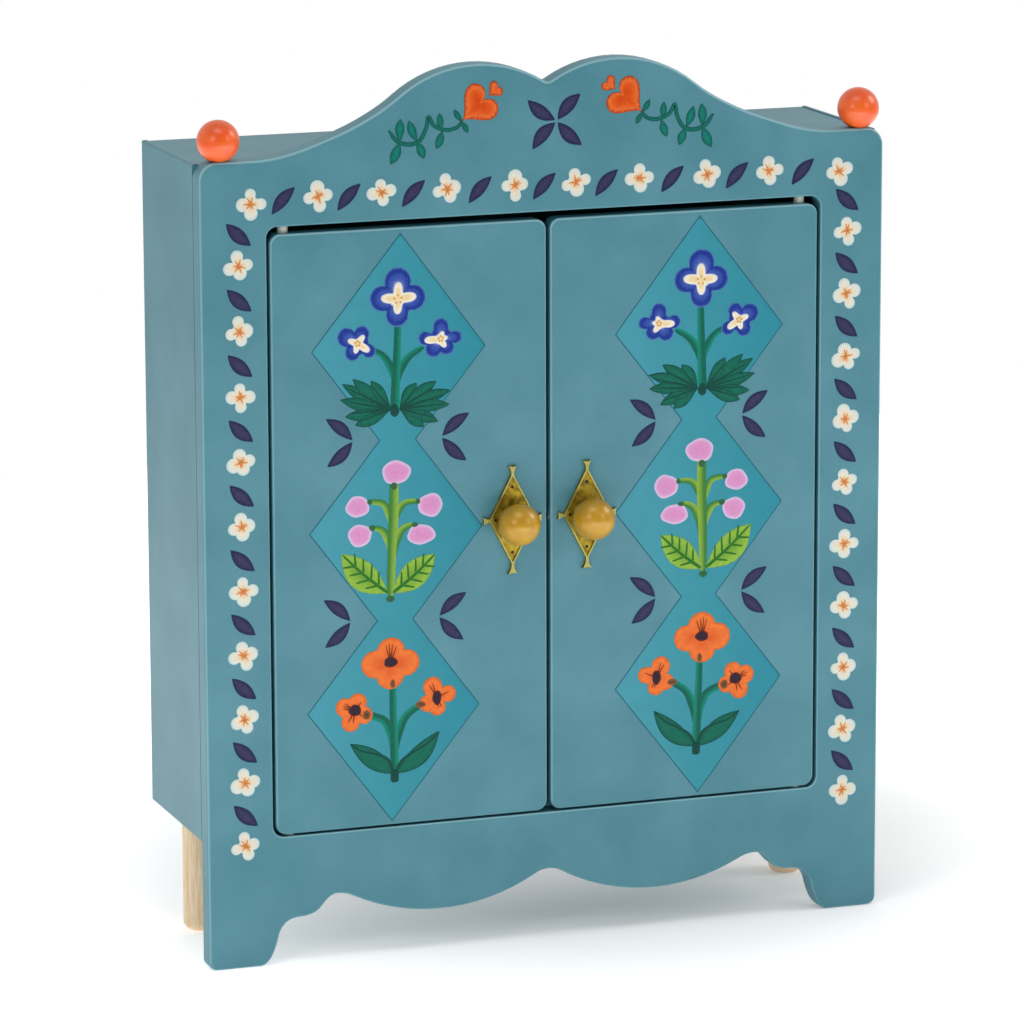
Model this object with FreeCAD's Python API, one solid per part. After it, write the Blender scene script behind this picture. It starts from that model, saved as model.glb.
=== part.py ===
import FreeCAD, Part

import math
import os

from FreeCAD import Vector

# Miniature wardrobe with two pivoting doors, in millimetres.
# +X is to the right of someone facing the doors, +Y is to the back, +Z is up.
# The origin is on the surface that the wardrobe stands on, under the middle of
# its overall box.

# ---------------------------------------------------------------- carcass
WIDTH = 240.0
BODY_DEPTH = 66.8          # front face to back edge
FRONT_T = 7.5              # front frame board
SIDE_T = 6.0
SIDE_LIP = 2.0             # the top board is let into the sides up to this outer lip
TOP_T = 5.0
FLOOR_T = 6.0
BACK_T = 3.0
BODY_BOTTOM = 42.65        # underside of the sides and the floor
BODY_TOP = 269.5           # top edges of the sides
TOP_SINK = 0.3             # the top board lies this far below the side edges
FRONT_EDGE_R = 1.2         # sanded rounding of the front frame's outer edge
BACK_EDGE_R = 0.6
BOARD_EDGE_R = 0.8
SEAM_EASE = 0.4             # chamfer of the top board beside each side panel

# ---------------------------------------------------------------- front outline
HUMP_X, HUMP_R = 24.5, 44.0          # two crown humps
CROWN_TOP = 298.7
SHOULDER_Z = 270.7
HUMP_END_X = 52.0
SHOULDER_X = 102.0
NOTCH_X = 1.2                        # half width of the eased notch between the humps
CORNER_R = 6.0
FOOT_OUTER_R = 3.0
SOLE_END_X = 102.0                   # inner end of a foot's flat sole
# The free curves pass through these (x, z, heading in degrees from +X).
SHOULDER_CURVE = ((63.0, 282.1, -27.5), (80.0, 275.1, -19.5))
FOOT_CURVE = ((97.6, 3.9, 115), (95.5, 10.2, 104), (92.2, 14.7, 150), (87.8, 15.7, 178))
APRON_CURVE = ((81.0, 18.2, 131), (75.2, 22.5, 180))
SCALLOP_X, SCALLOP_Z, SCALLOP_R = 38.5, 13.7, 68.0
SCALLOP_OUTER_X, SCALLOP_INNER_X = 69.5, 4.6

# ---------------------------------------------------------------- doorway and doors
OPEN_HALF_W = 97.35
OPEN_BOTTOM, OPEN_TOP = 43.9, 248.6
OPEN_CORNER_R = 3.8
OPEN_EDGE_R = 0.7
DOOR_T = 7.3
DOOR_SIDE_GAP = 1.1
DOOR_MEET_GAP = 1.3
DOOR_BOTTOM_GAP = 0.7
DOOR_TOP_GAP = 2.5
DOOR_CORNER_R = 3.6
DOOR_EDGE_R = 1.0
PIVOT_X = 90.8
PIN_R = 1.75
PIN_CLEARANCE = 0.08
PIN_IN_DOOR = 9.0
PIN_IN_FRAME = 6.0
SOCKET_SPARE = 0.6                   # a pivot socket is this much deeper than its pin
HEEL_RELIEF_X = (82.0, 99.0)         # floor notches that clear the turning door heels
HEEL_RELIEF_DEPTH = 3.0

# ---------------------------------------------------------------- engraved column
LOZENGE_HALF_W, LOZENGE_HALF_H = 30.0, 38.3
LOZENGE_PITCH = 60.8
COLUMN_X, COLUMN_Z = 53.7, 145.1
COLUMN_LEAN = {"left": 1.25, "right": 0.0}   # degrees that the hand-laid column leans
GROOVE_W, GROOVE_DEPTH = 0.36, 0.3

# ---------------------------------------------------------------- knobs
KNOB_X, PLATE_Z = 13.2, 146.0
KNOB_DROP = 0.6
BALL_R = 7.0
KNOB_SEAT_R = 2.6
PLATE_HALF_W, PLATE_HALF_H = 8.3, 15.7
PLATE_BASE_T, PLATE_RIM_T, PLATE_RIM_W = 0.8, 1.3, 0.5
TIP_TOP, TIP_BOTTOM, TIP_SIDE = (2.4, 1.4), (3.0, 1.7), (2.1, 1.35)  # flared tips: length, half width
TIP_NECK = 0.62                      # half width where a tip leaves the lozenge
BOSS_R, BOSS_TOP_R, BOSS_T = 4.9, 4.4, 0.6   # raised seat that the bead stands on
PLATE_HOLE_R = 0.55
NAILS = {"top": (0.0, 10.9), "bottom": (0.0, -11.3), "outer": (5.9, 0.0), "inner": (-5.9, 0.0)}
NAIL_SHANK_R, NAIL_LENGTH = 0.4, 4.5
NAIL_HEAD_R, NAIL_HEAD_T, NAIL_SINK = 0.5, 0.45, 0.1
SCREW_R, SCREW_CLEAR_R = 1.25, 1.6
SCREW_HEAD_R, SCREW_HEAD_T, SCREW_DOME_R = 3.0, 1.8, 3.8
SLOT_W, SLOT_L, SLOT_D = 0.7, 3.2, 0.9
SCREW_IN_BALL = 7.5
MAGNET_R, MAGNET_T, MAGNET_PROUD = 2.0, 1.6, 0.3

# ---------------------------------------------------------------- finials, legs, rail
FINIAL_X, FINIAL_Z = 112.2, 277.1
PEG_R, PEG_IN_BALL, PEG_IN_FRAME = 2.0, 6.0, 8.0
LEG_X, LEG_R = 107.5, 6.0
LEG_BACK_INSET = 14.8                # leg axis to the back edge
LEG_SOLE_R = 3.0                     # rounding of a leg's lower end
TENON_R, TENON_H = 4.0, 5.0
RAIL_R, RAIL_Z, RAIL_BACK = 3.0, 232.0, 28.0
CLEAT_W, CLEAT_H, CLEAT_T = 14.0, 16.0, 5.0
FIT = 0.05                           # glue gap around pegs, tenons and the rail

# ---------------------------------------------------------------- derived places
HALF_W = WIDTH / 2
KNOB_SEAT_CUT = BALL_R - math.sqrt(BALL_R**2 - KNOB_SEAT_R**2)
KNOB_REACH = PLATE_BASE_T + BOSS_T + 2 * BALL_R - KNOB_SEAT_CUT
FRONT_Y = KNOB_REACH - (BODY_DEPTH + KNOB_REACH) / 2
FRAME_BACK_Y = FRONT_Y + FRONT_T
BACK_Y = FRONT_Y + BODY_DEPTH
PIVOT_Y = FRONT_Y + FRONT_T / 2
DOOR_BACK_Y = FRONT_Y + DOOR_T
DOOR_BOTTOM, DOOR_TOP = OPEN_BOTTOM + DOOR_BOTTOM_GAP, OPEN_TOP - DOOR_TOP_GAP
DOOR_OUTER_X = OPEN_HALF_W - DOOR_SIDE_GAP
DOOR_INNER_X = DOOR_MEET_GAP / 2
INNER_HALF_W = HALF_W - SIDE_T
TOP_HALF_W = HALF_W - SIDE_LIP
FLOOR_TOP = BODY_BOTTOM + FLOOR_T
TOP_FACE = BODY_TOP - TOP_SINK
KNOB_Z = PLATE_Z - KNOB_DROP
PLATE_FACE_Y = FRONT_Y - PLATE_BASE_T
BOSS_FACE_Y = PLATE_FACE_Y - BOSS_T
BALL_Y = BOSS_FACE_Y - BALL_R + KNOB_SEAT_CUT
RAIL_Y = FRAME_BACK_Y + RAIL_BACK
LEG_Y = BACK_Y - LEG_BACK_INSET

SIDES = {"left": -1, "right": 1}
X, Y, Z = Vector(1, 0, 0), Vector(0, 1, 0), Vector(0, 0, 1)


# ---------------------------------------------------------------- helpers
def front_point(x, z):
    """A point of the front face plane."""
    return Vector(x, FRONT_Y, z)


def box(x, y, z):
    """A box from three (low, high) ranges."""
    return Part.makeBox(x[1] - x[0], y[1] - y[0], z[1] - z[0], Vector(x[0], y[0], z[0]))


def rod(radius, start, end):
    """A round rod between two points."""
    return Part.makeCylinder(radius, (end - start).Length, start, end - start)


def rod_y(radius, x, z, y0, y1):
    """A round rod along Y."""
    return rod(radius, Vector(x, y0, z), Vector(x, y1, z))


def rod_z(radius, x, y, z0, z1):
    """A round rod along Z."""
    return rod(radius, Vector(x, y, z0), Vector(x, y, z1))


def edges_in_plane_y(shape, y, inside=None):
    """Edges that lie in the plane at y, of the doorway only or of the rest only when inside is given."""
    found = []
    for edge in shape.Edges:
        b = edge.BoundBox
        if abs(b.YMin - y) > 1e-4 or abs(b.YMax - y) > 1e-4:
            continue
        in_doorway = (
            max(abs(b.XMin), abs(b.XMax)) <= OPEN_HALF_W + 0.01
            and b.ZMin >= OPEN_BOTTOM - 0.01
            and b.ZMax <= OPEN_TOP + 0.01
        )
        if inside is None or in_doorway == inside:
            found.append(edge)
    return found


def rounded_rectangle(x, z, radius):
    """A closed wire in the front plane with arcs at its four corners."""
    (x0, x1), (z0, z1) = x, z
    edges = []
    corners = [(x1, z1, 0), (x0, z1, 90), (x0, z0, 180), (x1, z0, 270)]
    ends = []
    for cx, cz, start in corners:
        mx = cx - radius if cx == x1 else cx + radius
        mz = cz - radius if cz == z1 else cz + radius
        points = []
        for turn in (0, 45, 90):
            a = math.radians(start + turn)
            points.append(front_point(mx + radius * math.cos(a), mz + radius * math.sin(a)))
        edges.append(Part.Arc(*points).toShape())
        ends.append((points[0], points[2]))
    for i in range(4):
        edges.append(Part.LineSegment(ends[i][1], ends[(i + 1) % 4][0]).toShape())
    return Part.Wire(Part.__sortEdges__(edges))


def flowing_curve(knots):
    """Edges of a smooth curve in the front plane through knots of (x, z, heading in degrees)."""
    edges = []
    for (x0, z0, a0), (x1, z1, a1) in zip(knots, knots[1:]):
        start, end = front_point(x0, z0), front_point(x1, z1)
        a0, a1 = math.radians(a0), math.radians(a1)
        handle = (end - start).Length / 3
        leaving = start + Vector(math.cos(a0), 0, math.sin(a0)) * handle
        arriving = end - Vector(math.cos(a1), 0, math.sin(a1)) * handle
        curve = Part.BezierCurve()
        curve.setPoles([start, leaving, arriving, end])
        edges.append(curve.toShape())
    return edges


def eased_arc(x, z, slope, sign):
    """The arc that joins (-x, z) to (x, z) where the curves arrive with this slope."""
    radius = x / math.sin(math.atan(slope))
    rise = sign * radius * (1 - math.cos(math.atan(slope)))
    return Part.Arc(front_point(-x, z), front_point(0, z + rise), front_point(x, z)).toShape()


# ---------------------------------------------------------------- front frame
def crown_z(x):
    """Height of a hump's circle at x."""
    return CROWN_TOP - HUMP_R + math.sqrt(HUMP_R**2 - (x - HUMP_X) ** 2)


def scallop_z(x):
    """Height of a scallop's circle at x."""
    return SCALLOP_Z + SCALLOP_R - math.sqrt(SCALLOP_R**2 - (x - SCALLOP_X) ** 2)


def half_outline():
    """Edges of the right half of the outline, from the crown notch round to the apron's middle."""
    notch_z, hump_end_z = crown_z(NOTCH_X), crown_z(HUMP_END_X)
    hump_heading = -math.degrees(math.asin((HUMP_END_X - HUMP_X) / HUMP_R))
    crown = Part.Arc(
        front_point(NOTCH_X, notch_z),
        front_point(HUMP_X, CROWN_TOP),
        front_point(HUMP_END_X, hump_end_z),
    )
    shoulder = [(HUMP_END_X, hump_end_z, hump_heading), *SHOULDER_CURVE, (SHOULDER_X, SHOULDER_Z, 0)]
    c = CORNER_R * (1 - math.cos(math.pi / 4))
    f = FOOT_OUTER_R * (1 - math.cos(math.pi / 4))
    shoulder_end = front_point(HALF_W - CORNER_R, SHOULDER_Z)
    corner_end = front_point(HALF_W, SHOULDER_Z - CORNER_R)
    foot_start = front_point(HALF_W, FOOT_OUTER_R)
    sole_start = front_point(HALF_W - FOOT_OUTER_R, 0)
    outer_z, inner_z = scallop_z(SCALLOP_OUTER_X), scallop_z(SCALLOP_INNER_X)
    scallop_heading = 180 + math.degrees(math.asin((SCALLOP_OUTER_X - SCALLOP_X) / SCALLOP_R))
    apron = [(SOLE_END_X, 0, 180), *FOOT_CURVE, *APRON_CURVE, (SCALLOP_OUTER_X, outer_z, scallop_heading)]
    scallop = Part.Arc(
        front_point(SCALLOP_OUTER_X, outer_z),
        front_point(SCALLOP_X, SCALLOP_Z),
        front_point(SCALLOP_INNER_X, inner_z),
    )
    return [
        crown.toShape(),
        *flowing_curve(shoulder),
        Part.LineSegment(front_point(SHOULDER_X, SHOULDER_Z), shoulder_end).toShape(),
        Part.Arc(shoulder_end, front_point(HALF_W - c, SHOULDER_Z - c), corner_end).toShape(),
        Part.LineSegment(corner_end, foot_start).toShape(),
        Part.Arc(foot_start, front_point(HALF_W - f, f), sole_start).toShape(),
        Part.LineSegment(sole_start, front_point(SOLE_END_X, 0)).toShape(),
        *flowing_curve(apron),
        scallop.toShape(),
    ]


def front_outline():
    """The closed outline of the front frame."""
    half = half_outline()
    other = [edge.mirror(front_point(0, 0), X) for edge in half]
    notch_slope = (HUMP_X - NOTCH_X) / math.sqrt(HUMP_R**2 - (HUMP_X - NOTCH_X) ** 2)
    peak_dx = SCALLOP_X - SCALLOP_INNER_X
    peak_slope = peak_dx / math.sqrt(SCALLOP_R**2 - peak_dx**2)
    joins = [
        eased_arc(NOTCH_X, crown_z(NOTCH_X), notch_slope, -1),
        eased_arc(SCALLOP_INNER_X, scallop_z(SCALLOP_INNER_X), peak_slope, 1),
    ]
    return Part.Wire(Part.__sortEdges__(half + other + joins))


def pivot_sockets():
    """Blind holes for the four door pins, above and below the doorway."""
    radius = PIN_R + PIN_CLEARANCE
    depth = PIN_IN_FRAME + SOCKET_SPARE
    holes = []
    for side in SIDES.values():
        x = side * PIVOT_X
        holes.append(rod_z(radius, x, PIVOT_Y, OPEN_TOP - 1, OPEN_TOP + depth))
        holes.append(rod_z(radius, x, PIVOT_Y, OPEN_BOTTOM - depth, OPEN_BOTTOM + 1))
    return holes


def peg_socket(side, bottom, top):
    """The hole for a finial's peg between two heights."""
    return rod_z(PEG_R + FIT, side * FINIAL_X, PIVOT_Y, bottom, top)


def front_frame():
    """The scalloped front board with its doorway."""
    board = Part.Face(front_outline()).extrude(Y * FRONT_T)
    doorway_wire = rounded_rectangle((-OPEN_HALF_W, OPEN_HALF_W), (OPEN_BOTTOM, OPEN_TOP), OPEN_CORNER_R)
    doorway = Part.Face(doorway_wire).extrude(Y * FRONT_T)
    board = board.cut(doorway)
    board = board.makeFillet(FRONT_EDGE_R, edges_in_plane_y(board, FRONT_Y, inside=False))
    board = board.makeFillet(BACK_EDGE_R, edges_in_plane_y(board, FRAME_BACK_Y, inside=False))
    board = board.makeFillet(OPEN_EDGE_R, edges_in_plane_y(board, FRONT_Y, inside=True))
    pegs = [peg_socket(side, SHOULDER_Z - PEG_IN_FRAME, SHOULDER_Z + 1) for side in SIDES.values()]
    return board.cut(pivot_sockets() + pegs)


# ---------------------------------------------------------------- carcass boards
def side_panel(side):
    """A side board, glued behind the front frame, with a rebate along its top for the top board."""
    x = sorted((side * HALF_W, side * INNER_HALF_W))
    board = box(x, (FRAME_BACK_Y, BACK_Y), (BODY_BOTTOM, BODY_TOP))
    outer = []
    for edge in board.Edges:
        middle = edge.CenterOfMass
        if abs(middle.x - side * HALF_W) < 1e-6 and middle.y > FRAME_BACK_Y + 1:
            outer.append(edge)
    board = board.makeFillet(BOARD_EDGE_R, outer)
    rebate_x = sorted((side * TOP_HALF_W, side * (INNER_HALF_W - 1)))
    return board.cut(box(rebate_x, (FRAME_BACK_Y - 1, BACK_Y + 1), (TOP_FACE - TOP_T, BODY_TOP + 1)))


def top_panel():
    """The top board, let into the sides a little below their edges, with a fine eased seam along each."""
    board = box((-TOP_HALF_W, TOP_HALF_W), (FRAME_BACK_Y, BACK_Y), (TOP_FACE - TOP_T, TOP_FACE))
    seams = [e for e in board.Edges if e.BoundBox.XLength < 0.01 and e.BoundBox.ZMin > TOP_FACE - 0.01]
    seams = [e for e in seams if e.BoundBox.YLength > 1]
    return board.makeChamfer(SEAM_EASE, seams)


def floor_panel():
    """The floor board. Its front edge stops the doors, and is notched where their heels turn."""
    board = box((-INNER_HALF_W, INNER_HALF_W), (FRAME_BACK_Y, BACK_Y), (BODY_BOTTOM, FLOOR_TOP))
    relief_y = (FRAME_BACK_Y - 1, FRAME_BACK_Y + HEEL_RELIEF_DEPTH)
    cuts = []
    for side in SIDES.values():
        relief_x = sorted(side * x for x in HEEL_RELIEF_X)
        cuts.append(box(relief_x, relief_y, (BODY_BOTTOM - 1, FLOOR_TOP + 1)))
        cuts.append(rod_z(TENON_R + FIT, side * LEG_X, LEG_Y, BODY_BOTTOM - 1, BODY_BOTTOM + TENON_H + FIT))
    return board.cut(cuts)


def back_panel():
    """The thin back, set in between the sides, the floor and the top."""
    return box((-INNER_HALF_W, INNER_HALF_W), (BACK_Y - BACK_T, BACK_Y), (FLOOR_TOP, TOP_FACE - TOP_T))


# ---------------------------------------------------------------- finials and legs
def finial_ball(side):
    """A round wooden bead with a flat seat and a blind hole for its peg."""
    centre = Vector(side * FINIAL_X, PIVOT_Y, FINIAL_Z)
    ball = Part.makeSphere(BALL_R, centre)
    below = BALL_R + 1
    seat = box(
        (centre.x - below, centre.x + below),
        (centre.y - below, centre.y + below),
        (SHOULDER_Z - below, SHOULDER_Z),
    )
    return ball.cut([seat, peg_socket(side, SHOULDER_Z - 1, SHOULDER_Z + PEG_IN_BALL + FIT)])


def finial_peg(side):
    """The dowel that joins a bead to the front frame."""
    return rod_z(PEG_R, side * FINIAL_X, PIVOT_Y, SHOULDER_Z - PEG_IN_FRAME, SHOULDER_Z + PEG_IN_BALL)


def rear_leg(side):
    """A turned dowel leg with a rounded sole and a tenon for the floor board."""
    sole = LEG_SOLE_R * (1 - math.cos(math.pi / 4))
    x, y = side * LEG_X, LEG_Y

    def point(radius, z):
        return Vector(x + radius, y, z)

    profile = [
        Part.LineSegment(point(0, 0), point(LEG_R - LEG_SOLE_R, 0)),
        Part.Arc(point(LEG_R - LEG_SOLE_R, 0), point(LEG_R - sole, sole), point(LEG_R, LEG_SOLE_R)),
        Part.LineSegment(point(LEG_R, LEG_SOLE_R), point(LEG_R, BODY_BOTTOM)),
        Part.LineSegment(point(LEG_R, BODY_BOTTOM), point(TENON_R, BODY_BOTTOM)),
        Part.LineSegment(point(TENON_R, BODY_BOTTOM), point(TENON_R, BODY_BOTTOM + TENON_H)),
        Part.LineSegment(point(TENON_R, BODY_BOTTOM + TENON_H), point(0, BODY_BOTTOM + TENON_H)),
        Part.LineSegment(point(0, BODY_BOTTOM + TENON_H), point(0, 0)),
    ]
    wire = Part.Wire([edge.toShape() for edge in profile])
    return Part.Face(wire).revolve(Vector(x, y, 0), Z, 360)


# ---------------------------------------------------------------- clothes rail
def clothes_rail():
    """The dowel that hangers go on. Its ends sit in the two cleats."""
    reach = INNER_HALF_W - FIT
    return rod(RAIL_R, Vector(-reach, RAIL_Y, RAIL_Z), Vector(reach, RAIL_Y, RAIL_Z))


def rail_cleat(side):
    """A block glued inside a side board, bored for the rail."""
    x = sorted((side * INNER_HALF_W, side * (INNER_HALF_W - CLEAT_T)))
    block = box(
        x,
        (RAIL_Y - CLEAT_W / 2, RAIL_Y + CLEAT_W / 2),
        (RAIL_Z - CLEAT_H / 2, RAIL_Z + CLEAT_H / 2),
    )
    free_face = side * (INNER_HALF_W - CLEAT_T)
    free = [edge for edge in block.Edges if abs(edge.CenterOfMass.x - free_face) < 1e-6]
    block = block.makeFillet(BOARD_EDGE_R, free)
    bore = rod(RAIL_R + FIT, Vector(x[0] - 1, RAIL_Y, RAIL_Z), Vector(x[1] + 1, RAIL_Y, RAIL_Z))
    return block.cut(bore)


# ---------------------------------------------------------------- doors
def lozenge_column(side_name, grow):
    """The face of three joined lozenges, grown by an amount all round, in the front plane."""
    side = SIDES[side_name]
    x = side * COLUMN_X
    slant = math.hypot(LOZENGE_HALF_W, LOZENGE_HALF_H)
    half_w = LOZENGE_HALF_W + grow * slant / LOZENGE_HALF_H
    half_h = LOZENGE_HALF_H + grow * slant / LOZENGE_HALF_W
    column = None
    for row in (-1, 0, 1):
        z = COLUMN_Z + row * LOZENGE_PITCH
        corners = [(x + half_w, z), (x, z + half_h), (x - half_w, z), (x, z - half_h)]
        points = [front_point(*c) for c in corners + corners[:1]]
        face = Part.Face(Part.makePolygon(points))
        column = face if column is None else column.fuse(face)
    column.rotate(front_point(x, COLUMN_Z), Y, COLUMN_LEAN[side_name])
    return column


def column_groove(side_name):
    """The engraved line round the lozenge column, as a solid to cut."""
    outer = lozenge_column(side_name, GROOVE_W / 2).extrude(Y * GROOVE_DEPTH)
    inner = lozenge_column(side_name, -GROOVE_W / 2).extrude(Y * GROOVE_DEPTH)
    return outer.cut(inner)


def door_pin(side, end):
    """A wooden pivot pin at the top (end 1) or the bottom (end -1) of a door."""
    edge_z = DOOR_TOP if end > 0 else DOOR_BOTTOM
    frame_z = OPEN_TOP if end > 0 else OPEN_BOTTOM
    return rod_z(PIN_R, side * PIVOT_X, PIVOT_Y, edge_z - end * PIN_IN_DOOR, frame_z + end * PIN_IN_FRAME)


def door_pin_hole(side, end):
    """The blind hole in a door's edge for its pin."""
    edge_z = DOOR_TOP if end > 0 else DOOR_BOTTOM
    return rod_z(PIN_R + FIT, side * PIVOT_X, PIVOT_Y, edge_z - end * (PIN_IN_DOOR + FIT), edge_z + end)


def magnet_span(side):
    """Inner and outer x of a door's catch magnet."""
    face = DOOR_INNER_X - MAGNET_PROUD
    return Vector(side * face, PIVOT_Y, KNOB_Z), Vector(side * (face + MAGNET_T), PIVOT_Y, KNOB_Z)


def nail_place(side, place):
    """Centre (x, z) of one of a plate's four nails, by its place on the plate."""
    dx, dz = NAILS[place]
    return side * (KNOB_X + dx), PLATE_Z + dz


def door(side_name):
    """A door leaf with its engraved column, pin holes, screw hole, nail holes and magnet pocket."""
    side = SIDES[side_name]
    x = sorted((side * DOOR_INNER_X, side * DOOR_OUTER_X))
    wire = rounded_rectangle(x, (DOOR_BOTTOM, DOOR_TOP), DOOR_CORNER_R)
    leaf = Part.Face(wire).extrude(Y * DOOR_T)
    rims = edges_in_plane_y(leaf, FRONT_Y) + edges_in_plane_y(leaf, DOOR_BACK_Y)
    leaf = leaf.makeFillet(DOOR_EDGE_R, rims)
    magnet_start, magnet_end = magnet_span(side)
    cuts = [column_groove(side_name), door_pin_hole(side, 1), door_pin_hole(side, -1)]
    cuts.append(rod(MAGNET_R + FIT, magnet_start - X * side, magnet_end + X * side * FIT))
    cuts.append(rod_y(SCREW_CLEAR_R, side * KNOB_X, KNOB_Z, FRONT_Y - 1, DOOR_BACK_Y + 1))
    depth = NAIL_LENGTH - PLATE_BASE_T + FIT
    for place in NAILS:
        nx, nz = nail_place(side, place)
        cuts.append(rod_y(NAIL_SHANK_R + FIT, nx, nz, FRONT_Y - 1, FRONT_Y + depth))
    return leaf.cut(cuts)


def door_magnet(side):
    """The disc magnet let into a door's meeting edge."""
    return rod(MAGNET_R, *magnet_span(side))


# ---------------------------------------------------------------- knobs and plates
def lozenge_prism(centre_x, shrink, y0, y1):
    """The plate's lozenge, drawn in by an amount, between two y planes."""
    slant = math.hypot(PLATE_HALF_W, PLATE_HALF_H)
    half_w = PLATE_HALF_W - shrink * slant / PLATE_HALF_H
    half_h = PLATE_HALF_H - shrink * slant / PLATE_HALF_W
    corners = [(half_w, 0), (0, half_h), (-half_w, 0), (0, -half_h), (half_w, 0)]
    points = [Vector(centre_x + dx, y0, PLATE_Z + dz) for dx, dz in corners]
    return Part.Face(Part.makePolygon(points)).extrude(Y * (y1 - y0))


def plate_tip(centre_x, direction, corner, size):
    """A flared trumpet tip of a size (length, half width), along direction (x, z) from a corner."""
    dx, dz = direction
    length, flare = size
    inset = 1.6

    def point(along, across):
        return Vector(
            centre_x + dx * (corner + along) - dz * across,
            FRONT_Y - PLATE_RIM_T,
            PLATE_Z + dz * (corner + along) + dx * across,
        )

    def flank(sign):
        return Part.Arc(
            point(-inset, sign * TIP_NECK),
            point(length * 0.35, sign * TIP_NECK),
            point(length, sign * flare),
        ).toShape()

    edges = [
        flank(1),
        flank(-1),
        Part.LineSegment(point(-inset, -TIP_NECK), point(-inset, TIP_NECK)).toShape(),
        Part.Arc(point(length, flare), point(length * 0.86, 0), point(length, -flare)).toShape(),
    ]
    return Part.Face(Part.Wire(Part.__sortEdges__(edges))).extrude(Y * PLATE_RIM_T)


def knob_plate(side):
    """The brass lozenge: a thin field in a raised rim, with a boss, four flared tips and nail holes."""
    x = side * KNOB_X
    rim_y = FRONT_Y - PLATE_RIM_T
    plate = lozenge_prism(x, 0, rim_y, FRONT_Y)
    plate = plate.fuse(plate_tip(x, (0, 1), PLATE_HALF_H, TIP_TOP))
    plate = plate.fuse(plate_tip(x, (0, -1), PLATE_HALF_H, TIP_BOTTOM))
    for direction in ((1, 0), (-1, 0)):
        plate = plate.fuse(plate_tip(x, direction, PLATE_HALF_W, TIP_SIDE))
    plate = plate.cut(lozenge_prism(x, PLATE_RIM_W, rim_y - 1, PLATE_FACE_Y)).removeSplitter()
    boss = Part.makeCone(BOSS_R, BOSS_TOP_R, BOSS_T, Vector(x, PLATE_FACE_Y, KNOB_Z), -Y)
    plate = plate.fuse(boss).removeSplitter()
    holes = [rod_y(SCREW_CLEAR_R, x, KNOB_Z, rim_y - 1, FRONT_Y + 1)]
    for place in NAILS:
        nx, nz = nail_place(side, place)
        holes.append(rod_y(PLATE_HOLE_R, nx, nz, rim_y - 1, FRONT_Y + 1))
    return plate.cut(holes)


def plate_nail(side, place):
    """A blackened nail, its head sunk in one of the plate's holes."""
    nx, nz = nail_place(side, place)
    head_y = PLATE_FACE_Y + NAIL_SINK
    head = rod_y(NAIL_HEAD_R, nx, nz, head_y, head_y + NAIL_HEAD_T)
    shank = rod_y(NAIL_SHANK_R, nx, nz, head_y + NAIL_HEAD_T / 2, PLATE_FACE_Y + NAIL_LENGTH)
    return head.fuse(shank).removeSplitter()


def knob_ball(side):
    """The bead knob: a flat seat against the plate's boss and a blind hole for the screw."""
    centre = Vector(side * KNOB_X, BALL_Y, KNOB_Z)
    ball = Part.makeSphere(BALL_R, centre)
    reach = BALL_R + 1
    seat = box(
        (centre.x - reach, centre.x + reach),
        (BOSS_FACE_Y, BOSS_FACE_Y + reach),
        (centre.z - reach, centre.z + reach),
    )
    hole = rod_y(SCREW_R + FIT, centre.x, KNOB_Z, BOSS_FACE_Y - SCREW_IN_BALL - FIT, BOSS_FACE_Y + 1)
    return ball.cut([seat, hole])


def knob_screw(side):
    """A cross-head screw from inside the door into the knob."""
    x = side * KNOB_X
    head_end = DOOR_BACK_Y + SCREW_HEAD_T
    head = rod_y(SCREW_HEAD_R, x, KNOB_Z, DOOR_BACK_Y, head_end)
    head = head.common(Part.makeSphere(SCREW_DOME_R, Vector(x, head_end - SCREW_DOME_R, KNOB_Z)))
    shank = rod_y(SCREW_R, x, KNOB_Z, BOSS_FACE_Y - SCREW_IN_BALL, DOOR_BACK_Y + 0.5)
    screw = head.fuse(shank)
    slots = []
    for w, h in ((SLOT_W, SLOT_L), (SLOT_L, SLOT_W)):
        across, up = (x - w / 2, x + w / 2), (KNOB_Z - h / 2, KNOB_Z + h / 2)
        slots.append(box(across, (head_end - SLOT_D, head_end + 1), up))
    return screw.cut(slots).removeSplitter()


# ---------------------------------------------------------------- build
def build():
    """Every node of the wardrobe, by name."""
    nodes = {
        "front_frame": front_frame(),
        "top_panel": top_panel(),
        "floor_panel": floor_panel(),
        "back_panel": back_panel(),
        "clothes_rail": clothes_rail(),
    }
    for name, side in SIDES.items():
        nodes[f"{name}_side_panel"] = side_panel(side)
        nodes[f"{name}_rail_cleat"] = rail_cleat(side)
        nodes[f"{name}_rear_leg"] = rear_leg(side)
        nodes[f"{name}_finial_ball"] = finial_ball(side)
        nodes[f"{name}_finial_peg"] = finial_peg(side)
        nodes[f"{name}_door"] = door(name)
        nodes[f"{name}_door_top_pin"] = door_pin(side, 1)
        nodes[f"{name}_door_bottom_pin"] = door_pin(side, -1)
        nodes[f"{name}_door_magnet"] = door_magnet(side)
        nodes[f"{name}_knob_plate"] = knob_plate(side)
        for place in NAILS:
            nodes[f"{name}_plate_{place}_nail"] = plate_nail(side, place)
        nodes[f"{name}_knob_ball"] = knob_ball(side)
        nodes[f"{name}_knob_screw"] = knob_screw(side)
    return nodes


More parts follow.
